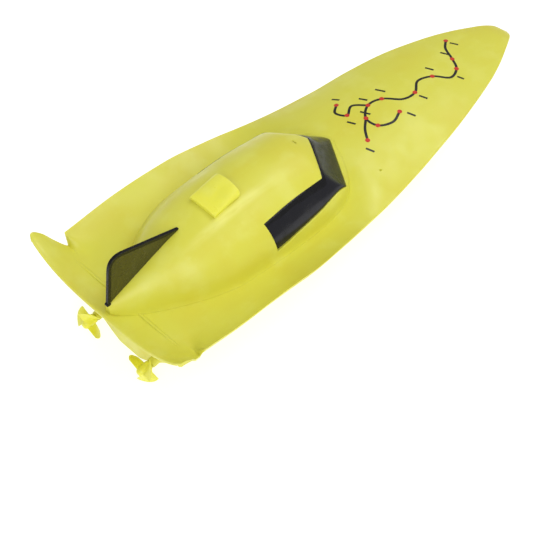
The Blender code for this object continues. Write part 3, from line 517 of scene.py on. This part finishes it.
# ---- Materials ----
class Finish:
    """A material put together from procedural nodes, measured in millimetres on the object."""

    def __init__(self, name, colour, roughness, **sockets):
        self.material = bpy.data.materials.new(name)
        self.material.use_nodes = True
        self.material.diffuse_color = (*colour, 1)
        self.tree = self.material.node_tree
        self.shader = self.tree.nodes["Principled BSDF"]
        self.colour = colour
        self.shader.inputs["Base Color"].default_value = (*colour, 1)
        self.shader.inputs["Roughness"].default_value = roughness
        for socket, value in sockets.items():
            self.shader.inputs[socket.replace("_", " ")].default_value = value
        place = self.tree.nodes.new("ShaderNodeTexCoord")
        self.place = self.tree.nodes.new("ShaderNodeMapping")
        self.place.inputs["Scale"].default_value = (1000, 1000, 1000)
        self.join(place.outputs["Object"], self.place.inputs["Vector"])

    def join(self, source, target):
        self.tree.links.new(source, target)

    def noise(self, size, detail, stretch=(1, 1, 1)):
        """Soft noise with features of about the size given, longer where stretch is above 1."""
        node = self.tree.nodes.new("ShaderNodeTexNoise")
        node.inputs["Scale"].default_value = 1 / size
        node.inputs["Detail"].default_value = detail
        source = self.place.outputs["Vector"]
        if stretch != (1, 1, 1):
            squeeze = self.tree.nodes.new("ShaderNodeMapping")
            squeeze.inputs["Scale"].default_value = tuple(1 / s for s in stretch)
            self.join(source, squeeze.inputs["Vector"])
            source = squeeze.outputs["Vector"]
        self.join(source, node.inputs["Vector"])
        return node.outputs["Fac"]

    def cells(self, size):
        """Distance to the edges between cells of about the size given."""
        node = self.tree.nodes.new("ShaderNodeTexVoronoi")
        node.feature = 'DISTANCE_TO_EDGE'
        node.inputs["Scale"].default_value = 1 / size
        self.join(self.place.outputs["Vector"], node.inputs["Vector"])
        return node.outputs["Distance"]

    def span(self, value, low, high, to_low=0.0, to_high=1.0):
        """Map a value's range from low..high to to_low..to_high, held at both ends."""
        node = self.tree.nodes.new("ShaderNodeMapRange")
        node.interpolation_type = 'SMOOTHSTEP'
        self.join(value, node.inputs["Value"])
        limits = {"From Min": low, "From Max": high, "To Min": to_low, "To Max": to_high}
        for socket, number in limits.items():
            node.inputs[socket].default_value = number
        return node.outputs["Result"]

    def multiply(self, a, b):
        node = self.tree.nodes.new("ShaderNodeMath")
        node.operation = 'MULTIPLY'
        self.join(a, node.inputs[0])
        self.join(b, node.inputs[1])
        return node.outputs["Value"]

    def tint(self, factor, colour):
        """Mix the base colour towards another where the factor is high."""
        node = self.tree.nodes.new("ShaderNodeMix")
        node.data_type = 'RGBA'
        self.join(factor, node.inputs["Factor"])
        base = self.shader.inputs["Base Color"]
        if base.is_linked:
            self.join(base.links[0].from_socket, node.inputs["A"])
        else:
            node.inputs["A"].default_value = (*self.colour, 1)
        node.inputs["B"].default_value = (*colour, 1)
        self.join(node.outputs["Result"], base)

    def cloud(self, noise, low, high, amount, colour):
        """Tint patches of noise towards a colour, by up to the amount given."""
        self.tint(self.span(self.noise(*noise), low, high, 0, amount), colour)

    def rub(self, noise, least, most, colour):
        """Tint convex edges towards a colour, where handling rubs a moulding."""
        node = self.tree.nodes.new("ShaderNodeNewGeometry")
        edges = self.span(node.outputs["Pointiness"], 0.52, 0.60)
        self.tint(self.multiply(edges, self.span(self.noise(*noise), 0.3, 0.7, least, most)), colour)

    def gloss(self, noise, low, high, smooth, rough):
        """Roughness that drifts with noise between two values."""
        drift = self.span(self.noise(*noise), low, high, smooth, rough)
        self.join(drift, self.shader.inputs["Roughness"])

    def bump(self, height, depth, strength=1.0):
        """Relief of the depth given, in millimetres, added to any that is there."""
        node = self.tree.nodes.new("ShaderNodeBump")
        node.inputs["Strength"].default_value = strength
        node.inputs["Distance"].default_value = depth * MM
        self.join(height, node.inputs["Height"])
        normal = self.shader.inputs["Normal"]
        if normal.is_linked:
            self.join(normal.links[0].from_socket, node.inputs["Normal"])
        self.join(node.outputs["Normal"], normal)

    def grain(self, noise, depth, strength):
        """Relief that follows noise."""
        self.bump(self.noise(*noise), depth, strength)

    def band(self, axis, centre, reach):
        """High near a coordinate of the object, in millimetres."""
        split = self.tree.nodes.new("ShaderNodeSeparateXYZ")
        self.join(self.place.outputs["Vector"], split.inputs["Vector"])
        away = self.tree.nodes.new("ShaderNodeMath")
        away.operation = 'SUBTRACT'
        self.join(split.outputs[axis], away.inputs[0])
        away.inputs[1].default_value = centre
        size = self.tree.nodes.new("ShaderNodeMath")
        size.operation = 'ABSOLUTE'
        self.join(away.outputs["Value"], size.inputs[0])
        return self.span(size.outputs["Value"], 0, reach, 1, 0)

    def facing(self, axis, low, high):
        """High where the surface faces along an axis of the object."""
        node = self.tree.nodes.new("ShaderNodeTexCoord")
        split = self.tree.nodes.new("ShaderNodeSeparateXYZ")
        self.join(node.outputs["Normal"], split.inputs["Vector"])
        return self.span(split.outputs[axis], low, high)


def moulded_yellow(name, colour, warm, pale, roughness=0.36, painted_highlight=False):
    """Waxy moulded plastic: cloudy pigment, fine grain, rubbed edges and scuffs, and where asked a
    painted highlight streak.
    """
    finish = Finish(name, colour, roughness, Subsurface_Weight=0.12, Subsurface_Scale=0.002,
                    Subsurface_Radius=(1.0, 0.85, 0.12), Specular_IOR_Level=0.45)
    finish.cloud((46, 3), 0.40, 0.68, 0.55, warm)
    finish.cloud((17, 5), 0.48, 0.72, 0.40, pale)
    finish.cloud((7, 4, (9, 1, 1)), 0.52, 0.74, 0.22, warm)
    finish.cloud((2.2, 6), 0.60, 0.78, 0.16, pale)
    finish.rub((9, 4), 0.2, 0.7, pale)
    # Painted highlight: a pale streak along the canopy's starboard shoulder, broken up by noise.
    if painted_highlight:
        across = finish.band("Y", HIGHLIGHT_CENTRE[1], HIGHLIGHT_REACH[1])
        highlight_band = finish.multiply(across, finish.band("X", HIGHLIGHT_CENTRE[0], HIGHLIGHT_REACH[0]))
        broken = finish.span(finish.noise(5, 4, (5, 1, 1)), 0.3, 0.6, 0.25, 0.85)
        finish.tint(finish.multiply(highlight_band, broken), HIGHLIGHT_PALE)
    scuff = finish.multiply(
        finish.span(finish.noise(0.7, 2, (22, 1, 1)), 0.70, 0.76),
        finish.span(finish.noise(24, 2), 0.50, 0.64),
    )
    finish.tint(finish.multiply(scuff, finish.span(finish.noise(40, 1), 0.2, 0.8, 0.1, 0.35)), pale)
    finish.gloss((11, 6), 0.3, 0.75, roughness - 0.06, roughness + 0.13)
    finish.grain((0.55, 4), 0.012, 0.5)
    finish.grain((14, 2), 0.12, 0.35)
    finish.bump(scuff, -0.01, 0.4)
    return finish.material


def smoked_plastic():
    """Glossy smoked glazing, blue-black at the sides, with a painted reflection where it faces forward:
    greyer there, with streaks.
    """
    finish = Finish("smoked_glazing", (0.009, 0.009, 0.013), 0.20, Coat_Weight=0.12, Coat_Roughness=0.12,
                    Specular_IOR_Level=0.3)
    # Painted reflection: glazing that faces forward is tinted greyer, with streaks in the tint.
    forward = finish.facing("X", 0.30, 0.62)
    finish.tint(forward, (0.040, 0.046, 0.020))
    streak = finish.span(finish.noise(1.6, 4, (1, 1, 7)), 0.46, 0.68)
    finish.tint(finish.multiply(streak, forward), (0.014, 0.020, 0.008))
    finish.cloud((9, 3), 0.55, 0.8, 0.5, (0.022, 0.022, 0.034))
    finish.cloud((0.35, 2), 0.74, 0.80, 0.2, (0.06, 0.06, 0.05))
    finish.gloss((5, 6), 0.35, 0.75, 0.13, 0.30)
    finish.grain((8, 2), 0.06, 0.3)
    return finish.material


def black_gloss(name, colour=(0.005, 0.005, 0.006), roughness=0.24):
    finish = Finish(name, colour, roughness, Coat_Weight=0.1, Coat_Roughness=0.14,
                    Specular_IOR_Level=0.25)
    finish.rub((2, 3), 0.1, 0.4, (0.035, 0.033, 0.03))
    finish.gloss((3, 5), 0.35, 0.7, roughness - 0.04, roughness + 0.14)
    finish.grain((0.6, 3), 0.01, 0.3)
    return finish.material


def fin_smoke():
    """Translucent smoked sheet over yellow: it lets a dull olive through."""
    finish = Finish("fin_smoke", (0.036, 0.033, 0.008), 0.24, Coat_Weight=0.25, Coat_Roughness=0.15)
    finish.cloud((13, 4), 0.42, 0.70, 0.65, (0.022, 0.021, 0.008))
    finish.cloud((3, 5, (1, 1, 5)), 0.50, 0.74, 0.4, (0.060, 0.055, 0.018))
    finish.gloss((4, 6), 0.35, 0.75, 0.18, 0.36)
    finish.grain((6, 3), 0.03, 0.3)
    return finish.material


def satin_plastic(name, colour, roughness=0.48, grain=0.35):
    """Textured moulded plastic with rubbed edges and a little dust."""
    finish = Finish(name, colour, roughness)
    light = tuple(min(1.0, c * 1.5 + 0.03) for c in colour)
    dark = tuple(c * 0.7 for c in colour)
    finish.cloud((12, 4), 0.42, 0.7, 0.5, dark)
    finish.rub((3, 3), 0.1, 0.7, light)
    finish.cloud((0.4, 3), 0.68, 0.8, 0.2, light)
    finish.gloss((6, 5), 0.3, 0.75, roughness - 0.08, roughness + 0.12)
    finish.grain((grain, 3), 0.02, 0.6)
    return finish.material


def seal_rubber():
    finish = Finish("soft_rubber", (0.022, 0.022, 0.023), 0.78, Sheen_Weight=0.15)
    finish.cloud((5, 5), 0.45, 0.75, 0.6, (0.06, 0.06, 0.058))
    finish.grain((0.5, 4), 0.03, 0.7)
    return finish.material


def bright_steel():
    """Drawn and plated steel: fine lines round the piece, a few dull spots."""
    finish = Finish("bright_steel", (0.62, 0.63, 0.64), 0.24, Metallic=1.0)
    finish.cloud((3, 5), 0.5, 0.75, 0.5, (0.42, 0.41, 0.39))
    finish.cloud((0.8, 4), 0.66, 0.78, 0.5, (0.30, 0.25, 0.19))
    finish.gloss((0.5, 4, (6, 1, 1)), 0.35, 0.7, 0.16, 0.38)
    finish.grain((0.18, 2, (14, 1, 1)), 0.004, 0.5)
    return finish.material


def battery_wrap():
    finish = Finish("shrink_wrap", (0.025, 0.10, 0.40), 0.28, Coat_Weight=0.5, Coat_Roughness=0.12)
    finish.cloud((20, 3), 0.42, 0.7, 0.5, (0.015, 0.06, 0.28))
    finish.grain((5, 3, (1, 6, 1)), 0.35, 0.6)
    finish.grain((1.2, 4), 0.04, 0.4)
    return finish.material


def circuit_board():
    """Green solder mask with paler tracks under it."""
    finish = Finish("solder_mask", (0.012, 0.12, 0.05), 0.3, Coat_Weight=0.4)
    track = finish.span(finish.cells(4.5), 0.05, 0.09, 1, 0)
    finish.tint(track, (0.03, 0.24, 0.09))
    finish.tint(finish.span(finish.noise(0.9, 2), 0.68, 0.72), (0.55, 0.55, 0.50))
    finish.bump(track, 0.03, 0.6)
    return finish.material


def print_ink(name, colour):
    """Pad-printed ink, a little broken where the pad missed."""
    finish = Finish(name, colour, 0.42)
    worn = tuple(0.88 * c + 0.12 * p for c, p in zip(colour, LEMON))
    finish.cloud((0.8, 5), 0.58, 0.72, 0.7, worn)
    finish.gloss((2, 4), 0.35, 0.7, 0.34, 0.55)
    finish.grain((0.4, 3), 0.006, 0.5)
    return finish.material


def make_finishes():
    return {
        "yellow": moulded_yellow("lemon_plastic", LEMON, LEMON_WARM, LEMON_PALE),
        # The canopy's yellow, with a painted highlight streak on its starboard shoulder.
        "painted_highlight": moulded_yellow("lemon_plastic_streaked", LEMON, LEMON_WARM, LEMON_PALE,
                                   painted_highlight=True),
        "bright": moulded_yellow("bright_lemon_plastic", SCOOP_YELLOW, LEMON, (0.92, 0.92, 0.2), 0.33),
        "glazing": smoked_plastic(),
        "black_gloss": black_gloss("glossy_black"),
        "fin": fin_smoke(),
        "grey": satin_plastic("grey_moulding", (0.25, 0.26, 0.27)),
        "black": satin_plastic("black_moulding", (0.018, 0.018, 0.019), 0.42),
        "red": satin_plastic("red_moulding", (0.58, 0.025, 0.018), 0.36, 0.6),
        "red_lead": satin_plastic("red_insulation", (0.50, 0.02, 0.015), 0.40, 0.8),
        "rubber": seal_rubber(),
        "steel": bright_steel(),
        "battery": battery_wrap(),
        "board": circuit_board(),
        "ink_black": print_ink("ink_black", (0.004, 0.004, 0.004)),
        "ink_red": print_ink("ink_red", (0.62, 0.03, 0.015)),
    }


# ---- Pieces of the hull ----
def make_hull(finishes):
    finish_piece("hull_shell", shell_mesh(*hull_rows()), finishes["yellow"],
                 "hull_assembly", ["hull"], 30)


def make_deck(finishes):
    deck = finish_piece("deck_shell", shell_mesh(*deck_rows()), finishes["yellow"],
                        "hull_assembly", ["deck"], 42)
    outline = rounded_rectangle((HATCH_CENTRE, 0), HATCH_OPENING, 5)
    cut(deck, add_cutter("hatch_cutter", prism_mesh(outline, LIP_HEIGHT - 6, LIP_HEIGHT + 6, upright)))
    x, y = PIN_HOLE_CENTRE
    height = float(deck_height(x, y))
    pin = [(x + PIN_HOLE_RADIUS * math.cos(angle), y + PIN_HOLE_RADIUS * math.sin(angle))
           for angle in np.linspace(0, 2 * math.pi, 17)[:-1]]
    cut(deck, add_cutter("pin_hole_cutter", prism_mesh(pin, height - 1.0, height + 2, upright)))


def make_canopy(finishes):
    canopy = finish_piece("canopy_shell", shell_mesh(*canopy_rows()), finishes["painted_highlight"],
                          "canopy_assembly", ["canopy"], 42)
    recess = shell_mesh(*visor_grids(GAP, -VISOR_RECESS, 4.0), bulge=0.0)
    cut(canopy, add_cutter("visor_recess_cutter", recess, "canopy_assembly"))
    top = float(canopy_height(146.0, 0.0))
    outline = rounded_rectangle(CANOPY_SLOT_CENTRE, CANOPY_SLOT_SIZE, 0.5, 6)
    slot = prism_mesh(outline, top - 1.6, top + 2, upright)
    cut(canopy, add_cutter("canopy_slot_cutter", slot, "canopy_assembly"))


def visor_grids(margin, low, high, chamfer=0.0):
    """Two grids over the visor's band on the canopy, at two offsets from its surface."""
    def stretched(edge, outward):
        centre, corner, end = [np.array(p, float) for p in edge]
        back = (end - corner) / np.linalg.norm(end - corner)
        lean = outward * margin
        return [centre + (lean, 0), corner + (0.8 * lean, 0.6 * lean), end + back * margin + (0, lean)]

    lower, upper = stretched(VISOR_LOWER, 1), stretched(VISOR_UPPER, -1)
    ribs = []
    for bend, shares in ((0, np.linspace(0, 1, 23)[:-1]), (1, np.linspace(0, 1, 41))):
        for u in shares:
            rib = [edge[bend] * (1 - u) + edge[bend + 1] * u for edge in (lower, upper)]
            rib[0] = rib[0] + (0, bend * 4 * VISOR_BOW * u * (1 - u))
            ribs.append(rib)
    ribs = [[p * (1, -1) for p in rib] for rib in ribs[:0:-1]] + ribs
    grids = []
    for offset in (high, low):
        rows = []
        for bottom, top in ribs:
            row = []
            for v in np.linspace(0, 1, 17):
                x, y = bottom * (1 - v) + top * v
                sink = chamfer * float(smoothstep((v - 0.82) / 0.18)) if offset == high else 0.0
                row.append(np.array((x, y, canopy_height(x, y))) + canopy_normal(x, y) * (offset - sink))
            rows.append(row)
        grids.append(np.array(rows))
    return grids


def visor_band(station, side):
    """True near the visor's upper edge: its gloss black frame, widest at the front corner."""
    centre, corner, end = [np.array(p) for p in VISOR_UPPER]
    point = np.array((station, side))
    for start, stop, widths in ((centre, corner, (1.2, 2.4)), (corner, end, (3.0, 1.6))):
        along = stop - start
        share = float(np.dot(point - start, along) / np.dot(along, along))
        gap = abs(along[0] * (point - start)[1] - along[1] * (point - start)[0]) / np.linalg.norm(along)
        if -0.02 <= share <= 1.02 and gap < widths[0] + (widths[1] - widths[0]) * share:
            return True
    return False


def make_visor(finishes):
    outer, inner = visor_grids(0, -0.15, GAP - VISOR_RECESS, chamfer=0.8)
    looks = [finishes["glazing"], finishes["black_gloss"]]
    visor = finish_piece("visor_glazing", shell_mesh(outer, inner, bulge=0.25), looks,
                         "canopy_assembly", ["visor"], 50)
    for face in visor.data.polygons:
        spot = face.center / MM + Vector((LENGTH / 2, 0, 0))
        if visor_band(spot.x, abs(spot.y)):
            face.material_index = 1


def fin_outline(steps=14):
    """Aft foot, aft edge, rounded corner, top edge and tip of the fin, then its foot along the ridge."""
    corner = Vector(FIN_AFT_TOP)
    start = corner + (Vector(FIN_AFT_FOOT) - corner).normalized() * FIN_CORNER_RADIUS
    end = corner + (Vector(FIN_TIP) - corner).normalized() * FIN_CORNER_RADIUS
    upper = [Vector(FIN_AFT_FOOT).lerp(start, k / 10) for k in range(10)]
    for k in range(steps + 1):
        u = k / steps
        upper.append(start.lerp(corner, u).lerp(corner.lerp(end, u), u))
    upper += [end.lerp(Vector(FIN_TIP), k / 20) for k in range(1, 21)]
    foot = [Vector((x, float(fair(RIDGE_HEIGHT, x)) + GAP)) for x in np.linspace(56, 4.4, 40)]
    return upper, foot


def make_fin(finishes):
    upper, foot = fin_outline()
    panel = [tuple(p) for p in upper + foot]
    shape = prism_mesh(panel, -FIN_HALF_PANEL, FIN_HALF_PANEL, sideways)
    sheet = finish_piece("fin_panel", shape, finishes["fin"],
                         "canopy_assembly", ["tail_fin"])
    soften(sheet, 0.2)
    inner = []
    for k, point in enumerate(upper):
        ahead = upper[min(k + 1, len(upper) - 1)] - upper[max(k - 1, 0)]
        across = Vector((ahead.y, -ahead.x)).normalized()
        taper = min(1.0, (len(upper) - 1 - k) / 6 + 0.25)
        inner.append(point + across * FIN_RIM_WIDTH * taper)
    loop = [tuple(p) for p in upper] + [tuple(p) for p in reversed(inner)]
    shape = prism_mesh(loop, -FIN_HALF_RIM, FIN_HALF_RIM, sideways)
    rim = finish_piece("fin_rim", shape, finishes["black_gloss"],
                       "canopy_assembly")
    soften(rim, 0.4)
    outline = rounded_rectangle(FIN_FOOT_CENTRE, FIN_FOOT_SIZE, 0.7, 5)
    shape = prism_mesh(outline, -FIN_HALF_FOOT, FIN_HALF_FOOT, sideways)
    foot = finish_piece("fin_foot", shape, finishes["black_gloss"],
                        "canopy_assembly")
    soften(foot, 0.3)


def make_scoop(finishes):
    """A ramp that rises forward to an arched mouth, open at the front."""
    def section(station, inset):
        along = (station - SCOOP_AFT) / (SCOOP_FORE - SCOOP_AFT)
        floor = float(fair(RIDGE_HEIGHT, station)) + GAP
        top = floor + SCOOP_BACK_HEIGHT + SCOOP_RISE * along - inset
        half = SCOOP_HALF_WIDTH - inset
        rise = 0.85 * (top - floor) - 0.6
        turn = np.linspace(0, math.pi, 41)
        arch = np.stack([half * np.cos(turn), top - rise + rise * np.sin(turn)], axis=1)
        wall = np.linspace(0, 1, 8)[:-1, None] * (0, top - rise - floor)
        left = wall + (half, floor)
        right = (wall + (-half, floor))[::-1]
        profile = np.concatenate([left, arch, right])
        return np.hstack([np.full((len(profile), 1), station), profile])

    outer = [section(x, 0) for x in np.linspace(SCOOP_AFT, SCOOP_FORE, 26)]
    inner = [section(x, SCOOP_WALL) for x in np.linspace(SCOOP_AFT + 5, SCOOP_FORE, 26)]
    for rows in (outer, inner):
        floor = rows[0][0, 2]
        rows.insert(0, fold(rows[0], lambda row: floor))
    finish_piece("scoop_shell", shell_mesh(np.array(outer), np.array(inner)), finishes["bright"],
                 "canopy_assembly", ["roof_scoop"], 48)


def make_propeller(side_name, hand, finishes):
    """Three fan blades, each a screw surface, run into the hub with small fillets."""
    place = on_shaft(hand)
    verts, faces = turned_mesh(HUB_PROFILE, place, 40)
    for number in range(3):
        turn = BLADE_TURN[side_name] + 2 * math.pi * number / 3
        grids = []
        for face in (1, -1):
            rows = []
            for reach in np.linspace(0, 1, 16):
                radius = BLADE_ROOT + (BLADE_RADIUS - BLADE_ROOT) * reach
                spread = BLADE_HALF_ANGLE * min(1.0, 0.62 + 0.5 * reach)
                row = []
                for share in np.linspace(-1, 1, 19):
                    angle = turn + hand * share * spread
                    trim = 1 - 0.10 * share ** 2 * reach ** 4
                    body = BLADE_HALF_THICKNESS * (1 - 0.45 * share ** 2) * (1.1 - 0.35 * reach)
                    along = share * BLADE_HALF_PITCH * (0.75 + 0.25 * reach) + face * body
                    out = radius * trim
                    row.append(place(along, out * math.cos(angle), out * math.sin(angle)))
                rows.append(row)
            grids.append(np.array(rows))
        points, quads = shell_mesh(*grids, bulge=0.3)
        faces = faces + [[len(verts) + i for i in quad] for quad in quads]
        verts += [tuple(p) for p in points]
    name = f"propeller_moulding_{side_name}"
    piece = finish_piece(name, (verts, faces), finishes["bright"], f"{side_name}_shaft_line",
                         [f"propeller_{side_name}"], 60)
    blend = piece.modifiers.new("moulded as one", 'REMESH')
    blend.mode = 'VOXEL'
    blend.voxel_size = 0.22 * MM
    blend.use_smooth_shade = True
    rounding = piece.modifiers.new("fillets", 'SMOOTH')
    rounding.factor = 0.5
    rounding.iterations = 5


def make_stern_tube(side_name, hand, finishes):
    """The bored sleeve that the propeller shaft runs in."""
    shape = turned_mesh(TUBE_PROFILE, on_shaft(hand))
    tube = finish_piece(f"stern_sleeve_{side_name}", shape, finishes["yellow"],
                        "hull_assembly", [f"stern_tube_{side_name}"])
    bore = turned_mesh([(5.0, TUBE_BORE), (39.0, TUBE_BORE)], on_shaft(hand), 32)
    cut(tube, add_cutter(f"sleeve_bore_{side_name}", bore))


def make_screws(finishes):
    """Round-headed screws with a cross recess, where the CAD has them."""
    for number in range(1, 5):
        low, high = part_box(f"hatch_screw_{number}")
        x, y = (low.x + high.x) / 2 / MM + LENGTH / 2, (low.y + high.y) / 2 / MM
        top, radius = high.z / MM, (high.x - low.x) / 2 / MM
        dome = [(low.z / MM, 1.0), (top - 1.6, 1.2), (top - 1.4, radius), (top - 0.9, radius)]
        for turn in np.radians((20, 40, 60, 78)):
            dome.append((top - 0.9 + 0.9 * math.sin(turn), radius * math.cos(turn)))
        shape = turned_mesh(dome, lambda along, across, up: (x + across, y + up, along), 32)
        screw = finish_piece(f"hatch_screw_head_{number}", shape, finishes["steel"],
                             "hull_assembly", [f"hatch_screw_{number}"], 30)
        for turn in (0.35, 0.35 + math.pi / 2):
            bar = [(1.5, 0.28), (-1.5, 0.28), (-1.5, -0.28), (1.5, -0.28)]
            c, s = math.cos(turn), math.sin(turn)
            slot = [(x + a * c - b * s, y + a * s + b * c) for a, b in bar]
            recess = prism_mesh(slot, top - 0.7, top + 1, upright)
            cut(screw, add_cutter(f"screw_slot_{number}_{round(turn)}", recess))


# ---- Foredeck print ----
def spline_points(knots, steps=14):
    """A smooth plan curve through its knots."""
    knots = [np.array(k, float) for k in knots]
    padded = [2 * knots[0] - knots[1]] + knots + [2 * knots[-1] - knots[-2]]
    points = []
    for a, b, c, d in zip(padded, padded[1:], padded[2:], padded[3:]):
        for u in np.linspace(0, 1, steps + 1)[:-1]:
            points.append(0.5 * (2 * b + (c - a) * u + (2 * a - 5 * b + 4 * c - d) * u ** 2
                                 + (3 * b - a - 3 * c + d) * u ** 3))
    return points + [knots[-1]]


def print_piece(name, plan_rows, lift, bulge, finish):
    """A thin printed piece that follows the foredeck under rows of plan points."""
    grids = []
    for level in (lift, -0.15):
        grids.append(np.array([[(x, y, float(deck_height(x, y)) + level) for x, y in row]
                               for row in plan_rows]))
    finish_piece(name, shell_mesh(*grids, bulge=bulge), finish, "hull_assembly")


def ribbon(name, path, width, finish, lift=0.06):
    """A printed line along a plan curve."""
    rows = []
    for k, point in enumerate(path):
        ahead = path[min(k + 1, len(path) - 1)] - path[max(k - 1, 0)]
        across = np.array((-ahead[1], ahead[0])) / np.linalg.norm(ahead)
        rows.append([point + across * width * share for share in (-0.5, -0.25, 0, 0.25, 0.5)])
    print_piece(name, rows, lift, 0.1, finish)


def spot(name, centre, radius, finish, lift=0.10):
    """A printed dot."""
    rows = []
    for ring in np.linspace(1, 0.02, 5):
        reach = radius * ring
        rows.append([(centre[0] + reach * math.cos(angle), centre[1] + reach * math.sin(angle))
                     for angle in np.linspace(0, 2 * math.pi, 25)])
    print_piece(name, rows, lift, 0.0, finish)


def make_print(finishes):
    """A plain wandering line with dots and short bars beside them."""
    route = [
        (296, 15), (289, 9), (284, -1), (279, -9), (270, -12), (262, -4), (252, -1), (243, -7), (233, -6),
        (224, 3), (214, 5), (205, -2), (206, -11), (215, -15), (224, -12),
    ]
    branch = [(214, 5), (207, 12), (199, 8), (196, 15), (202, 20)]
    tail = [(205, -2), (198, -8), (193, -15)]
    for number, knots in enumerate((route, branch, tail), 1):
        ribbon(f"print_route_{number}", spline_points(knots), PRINT_LINE, finishes["ink_black"])
    stops = [(296, 15), (284, -1), (279, -9), (262, -4), (243, -7), (224, 3), (214, 5), (224, -12),
             (205, -2), (199, 8), (202, 20), (193, -15), (206, -11)]
    bars = [(297, 9, 5), (284.5, 6, 5), (275, -16, 4), (266, 2, 5), (244, -13, 5), (229, 9, 6),
            (216, 11, 5), (228, -18, 5), (208, 1.5, 6), (196, 1.5, 5), (206, 24.5, 4.5), (189, -21, 5)]
    for number, centre in enumerate(stops, 1):
        spot(f"print_dot_{number}", centre, PRINT_DOT, finishes["ink_red"])
    for number, (x, y, length) in enumerate(bars, 1):
        half = length / 2
        path = [np.array((x + 0.45 * half * u, y - half * u)) for u in np.linspace(-1, 1, 8)]
        ribbon(f"print_bar_{number}", path, PRINT_BAR, finishes["ink_black"], 0.07)


# ---- CAD pieces that stay as they are ----
KEPT = {
    "grey": ["inner_hatch", "equipment_tray", "motor_bulkhead"],
    "rubber": ["hatch_seal"],
    "black": ["switch_housing", "shaft_coupling_port", "shaft_coupling_starboard", "motor_lead_port",
              "motor_lead_starboard", "antenna_wire"],
    "red": ["switch_slider"],
    "red_lead": ["battery_lead"],
    "battery": ["battery_pack"],
    "board": ["receiver_board"],
    "steel": ["motor_port", "motor_starboard", "motor_shaft_port", "motor_shaft_starboard",
              "prop_shaft_port", "prop_shaft_starboard", "water_contact_port", "water_contact_starboard"],
}
ROUNDED = {
    "inner_hatch": 0.5, "switch_housing": 0.3, "switch_slider": 0.25, "battery_pack": 0.8,
    "equipment_tray": 0.3, "hatch_seal": 0.3, "water_contact_port": 0.25, "water_contact_starboard": 0.25,
}


def dress_kept_nodes(finishes):
    for finish, names in KEPT.items():
        for name in names:
            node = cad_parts[name]
            for slot in node.material_slots:
                slot.material = finishes[finish]
            if name in ROUNDED:
                soften(node, ROUNDED[name])


# ---- Floor, light and camera ----
def make_floor():
    finish = Finish("pale_floor", (0.5, 0.5, 0.5), 0.75, Emission_Color=(1, 1, 1, 1),
                    Emission_Strength=0.75)
    finish.grain((60, 2), 0.05, 0.1)
    data = bpy.data.meshes.new("floor")
    data.from_pydata([(-3, -3, 0), (3, -3, 0), (3, 3, 0), (-3, 3, 0)], [], [(0, 1, 2, 3)])
    floor = bpy.data.objects.new("floor", data)
    bpy.context.scene.collection.objects.link(floor)
    floor.location.z = -0.0003
    data.materials.append(finish.material)


def add_softbox(name, towards, distance, size, power, colour=(1, 1, 1)):
    """A rectangular light that faces the boat from a direction."""
    lamp = bpy.data.lights.new(name, 'AREA')
    lamp.shape = 'RECTANGLE'
    lamp.size, lamp.size_y = size
    lamp.energy = power
    lamp.color = colour
    thing = bpy.data.objects.new(name, lamp)
    direction = Vector(towards).normalized()
    thing.location = direction * distance + Vector((0, 0, 0.05))
    thing.rotation_mode = 'QUATERNION'
    thing.rotation_quaternion = direction.to_track_quat('Z', 'Y')
    bpy.context.scene.collection.objects.link(thing)


def light_studio():
    scene = bpy.context.scene
    scene.world = bpy.data.worlds.new("studio")
    scene.world.use_nodes = True
    sky = scene.world.node_tree.nodes["Background"]
    sky.inputs["Color"].default_value = (1, 1, 1, 1)
    sky.inputs["Strength"].default_value = 0.45
    add_softbox("overhead", (0.35, -0.25, 1.0), 1.5, (1.4, 1.0), 6)
    add_softbox("stern_starboard", (-0.9, -0.8, 0.9), 1.4, (0.8, 0.8), 6)
    add_softbox("strip", (0.465, -0.12, 0.875), 1.2, (0.9, 0.06), 1.8)
    scene.view_settings.view_transform = 'Standard'


def place_camera():
    """Looks down on the boat from its starboard quarter, as one does on a table."""
    right = Vector((math.cos(CAMERA_HEADING), -math.sin(CAMERA_HEADING), 0))
    level = Vector((-math.sin(CAMERA_HEADING), -math.cos(CAMERA_HEADING), 0))
    down = level * math.sin(CAMERA_DEPRESSION) - Vector((0, 0, math.cos(CAMERA_DEPRESSION)))
    ahead = right.cross(down)
    data = bpy.data.cameras.new("camera")
    data.sensor_width = CAMERA_SENSOR
    data.lens = CAMERA_LENS
    data.clip_start = 0.01
    camera = bpy.data.objects.new("camera", data)
    bpy.context.scene.collection.objects.link(camera)
    matrix = Matrix((right, -down, -ahead)).transposed().to_4x4()
    matrix.translation = Vector(to_world(CAMERA_TARGET)) - ahead * CAMERA_DISTANCE
    camera.matrix_world = matrix
    bpy.context.scene.camera = camera


def main():
    finishes = make_finishes()
    make_hull(finishes)
    make_deck(finishes)
    make_canopy(finishes)
    make_visor(finishes)
    make_fin(finishes)
    make_scoop(finishes)
    for side_name, hand in (("port", 1), ("starboard", -1)):
        make_propeller(side_name, hand, finishes)
        make_stern_tube(side_name, hand, finishes)
    make_screws(finishes)
    make_print(finishes)
    dress_kept_nodes(finishes)
    make_floor()
    light_studio()
    place_camera()


main()
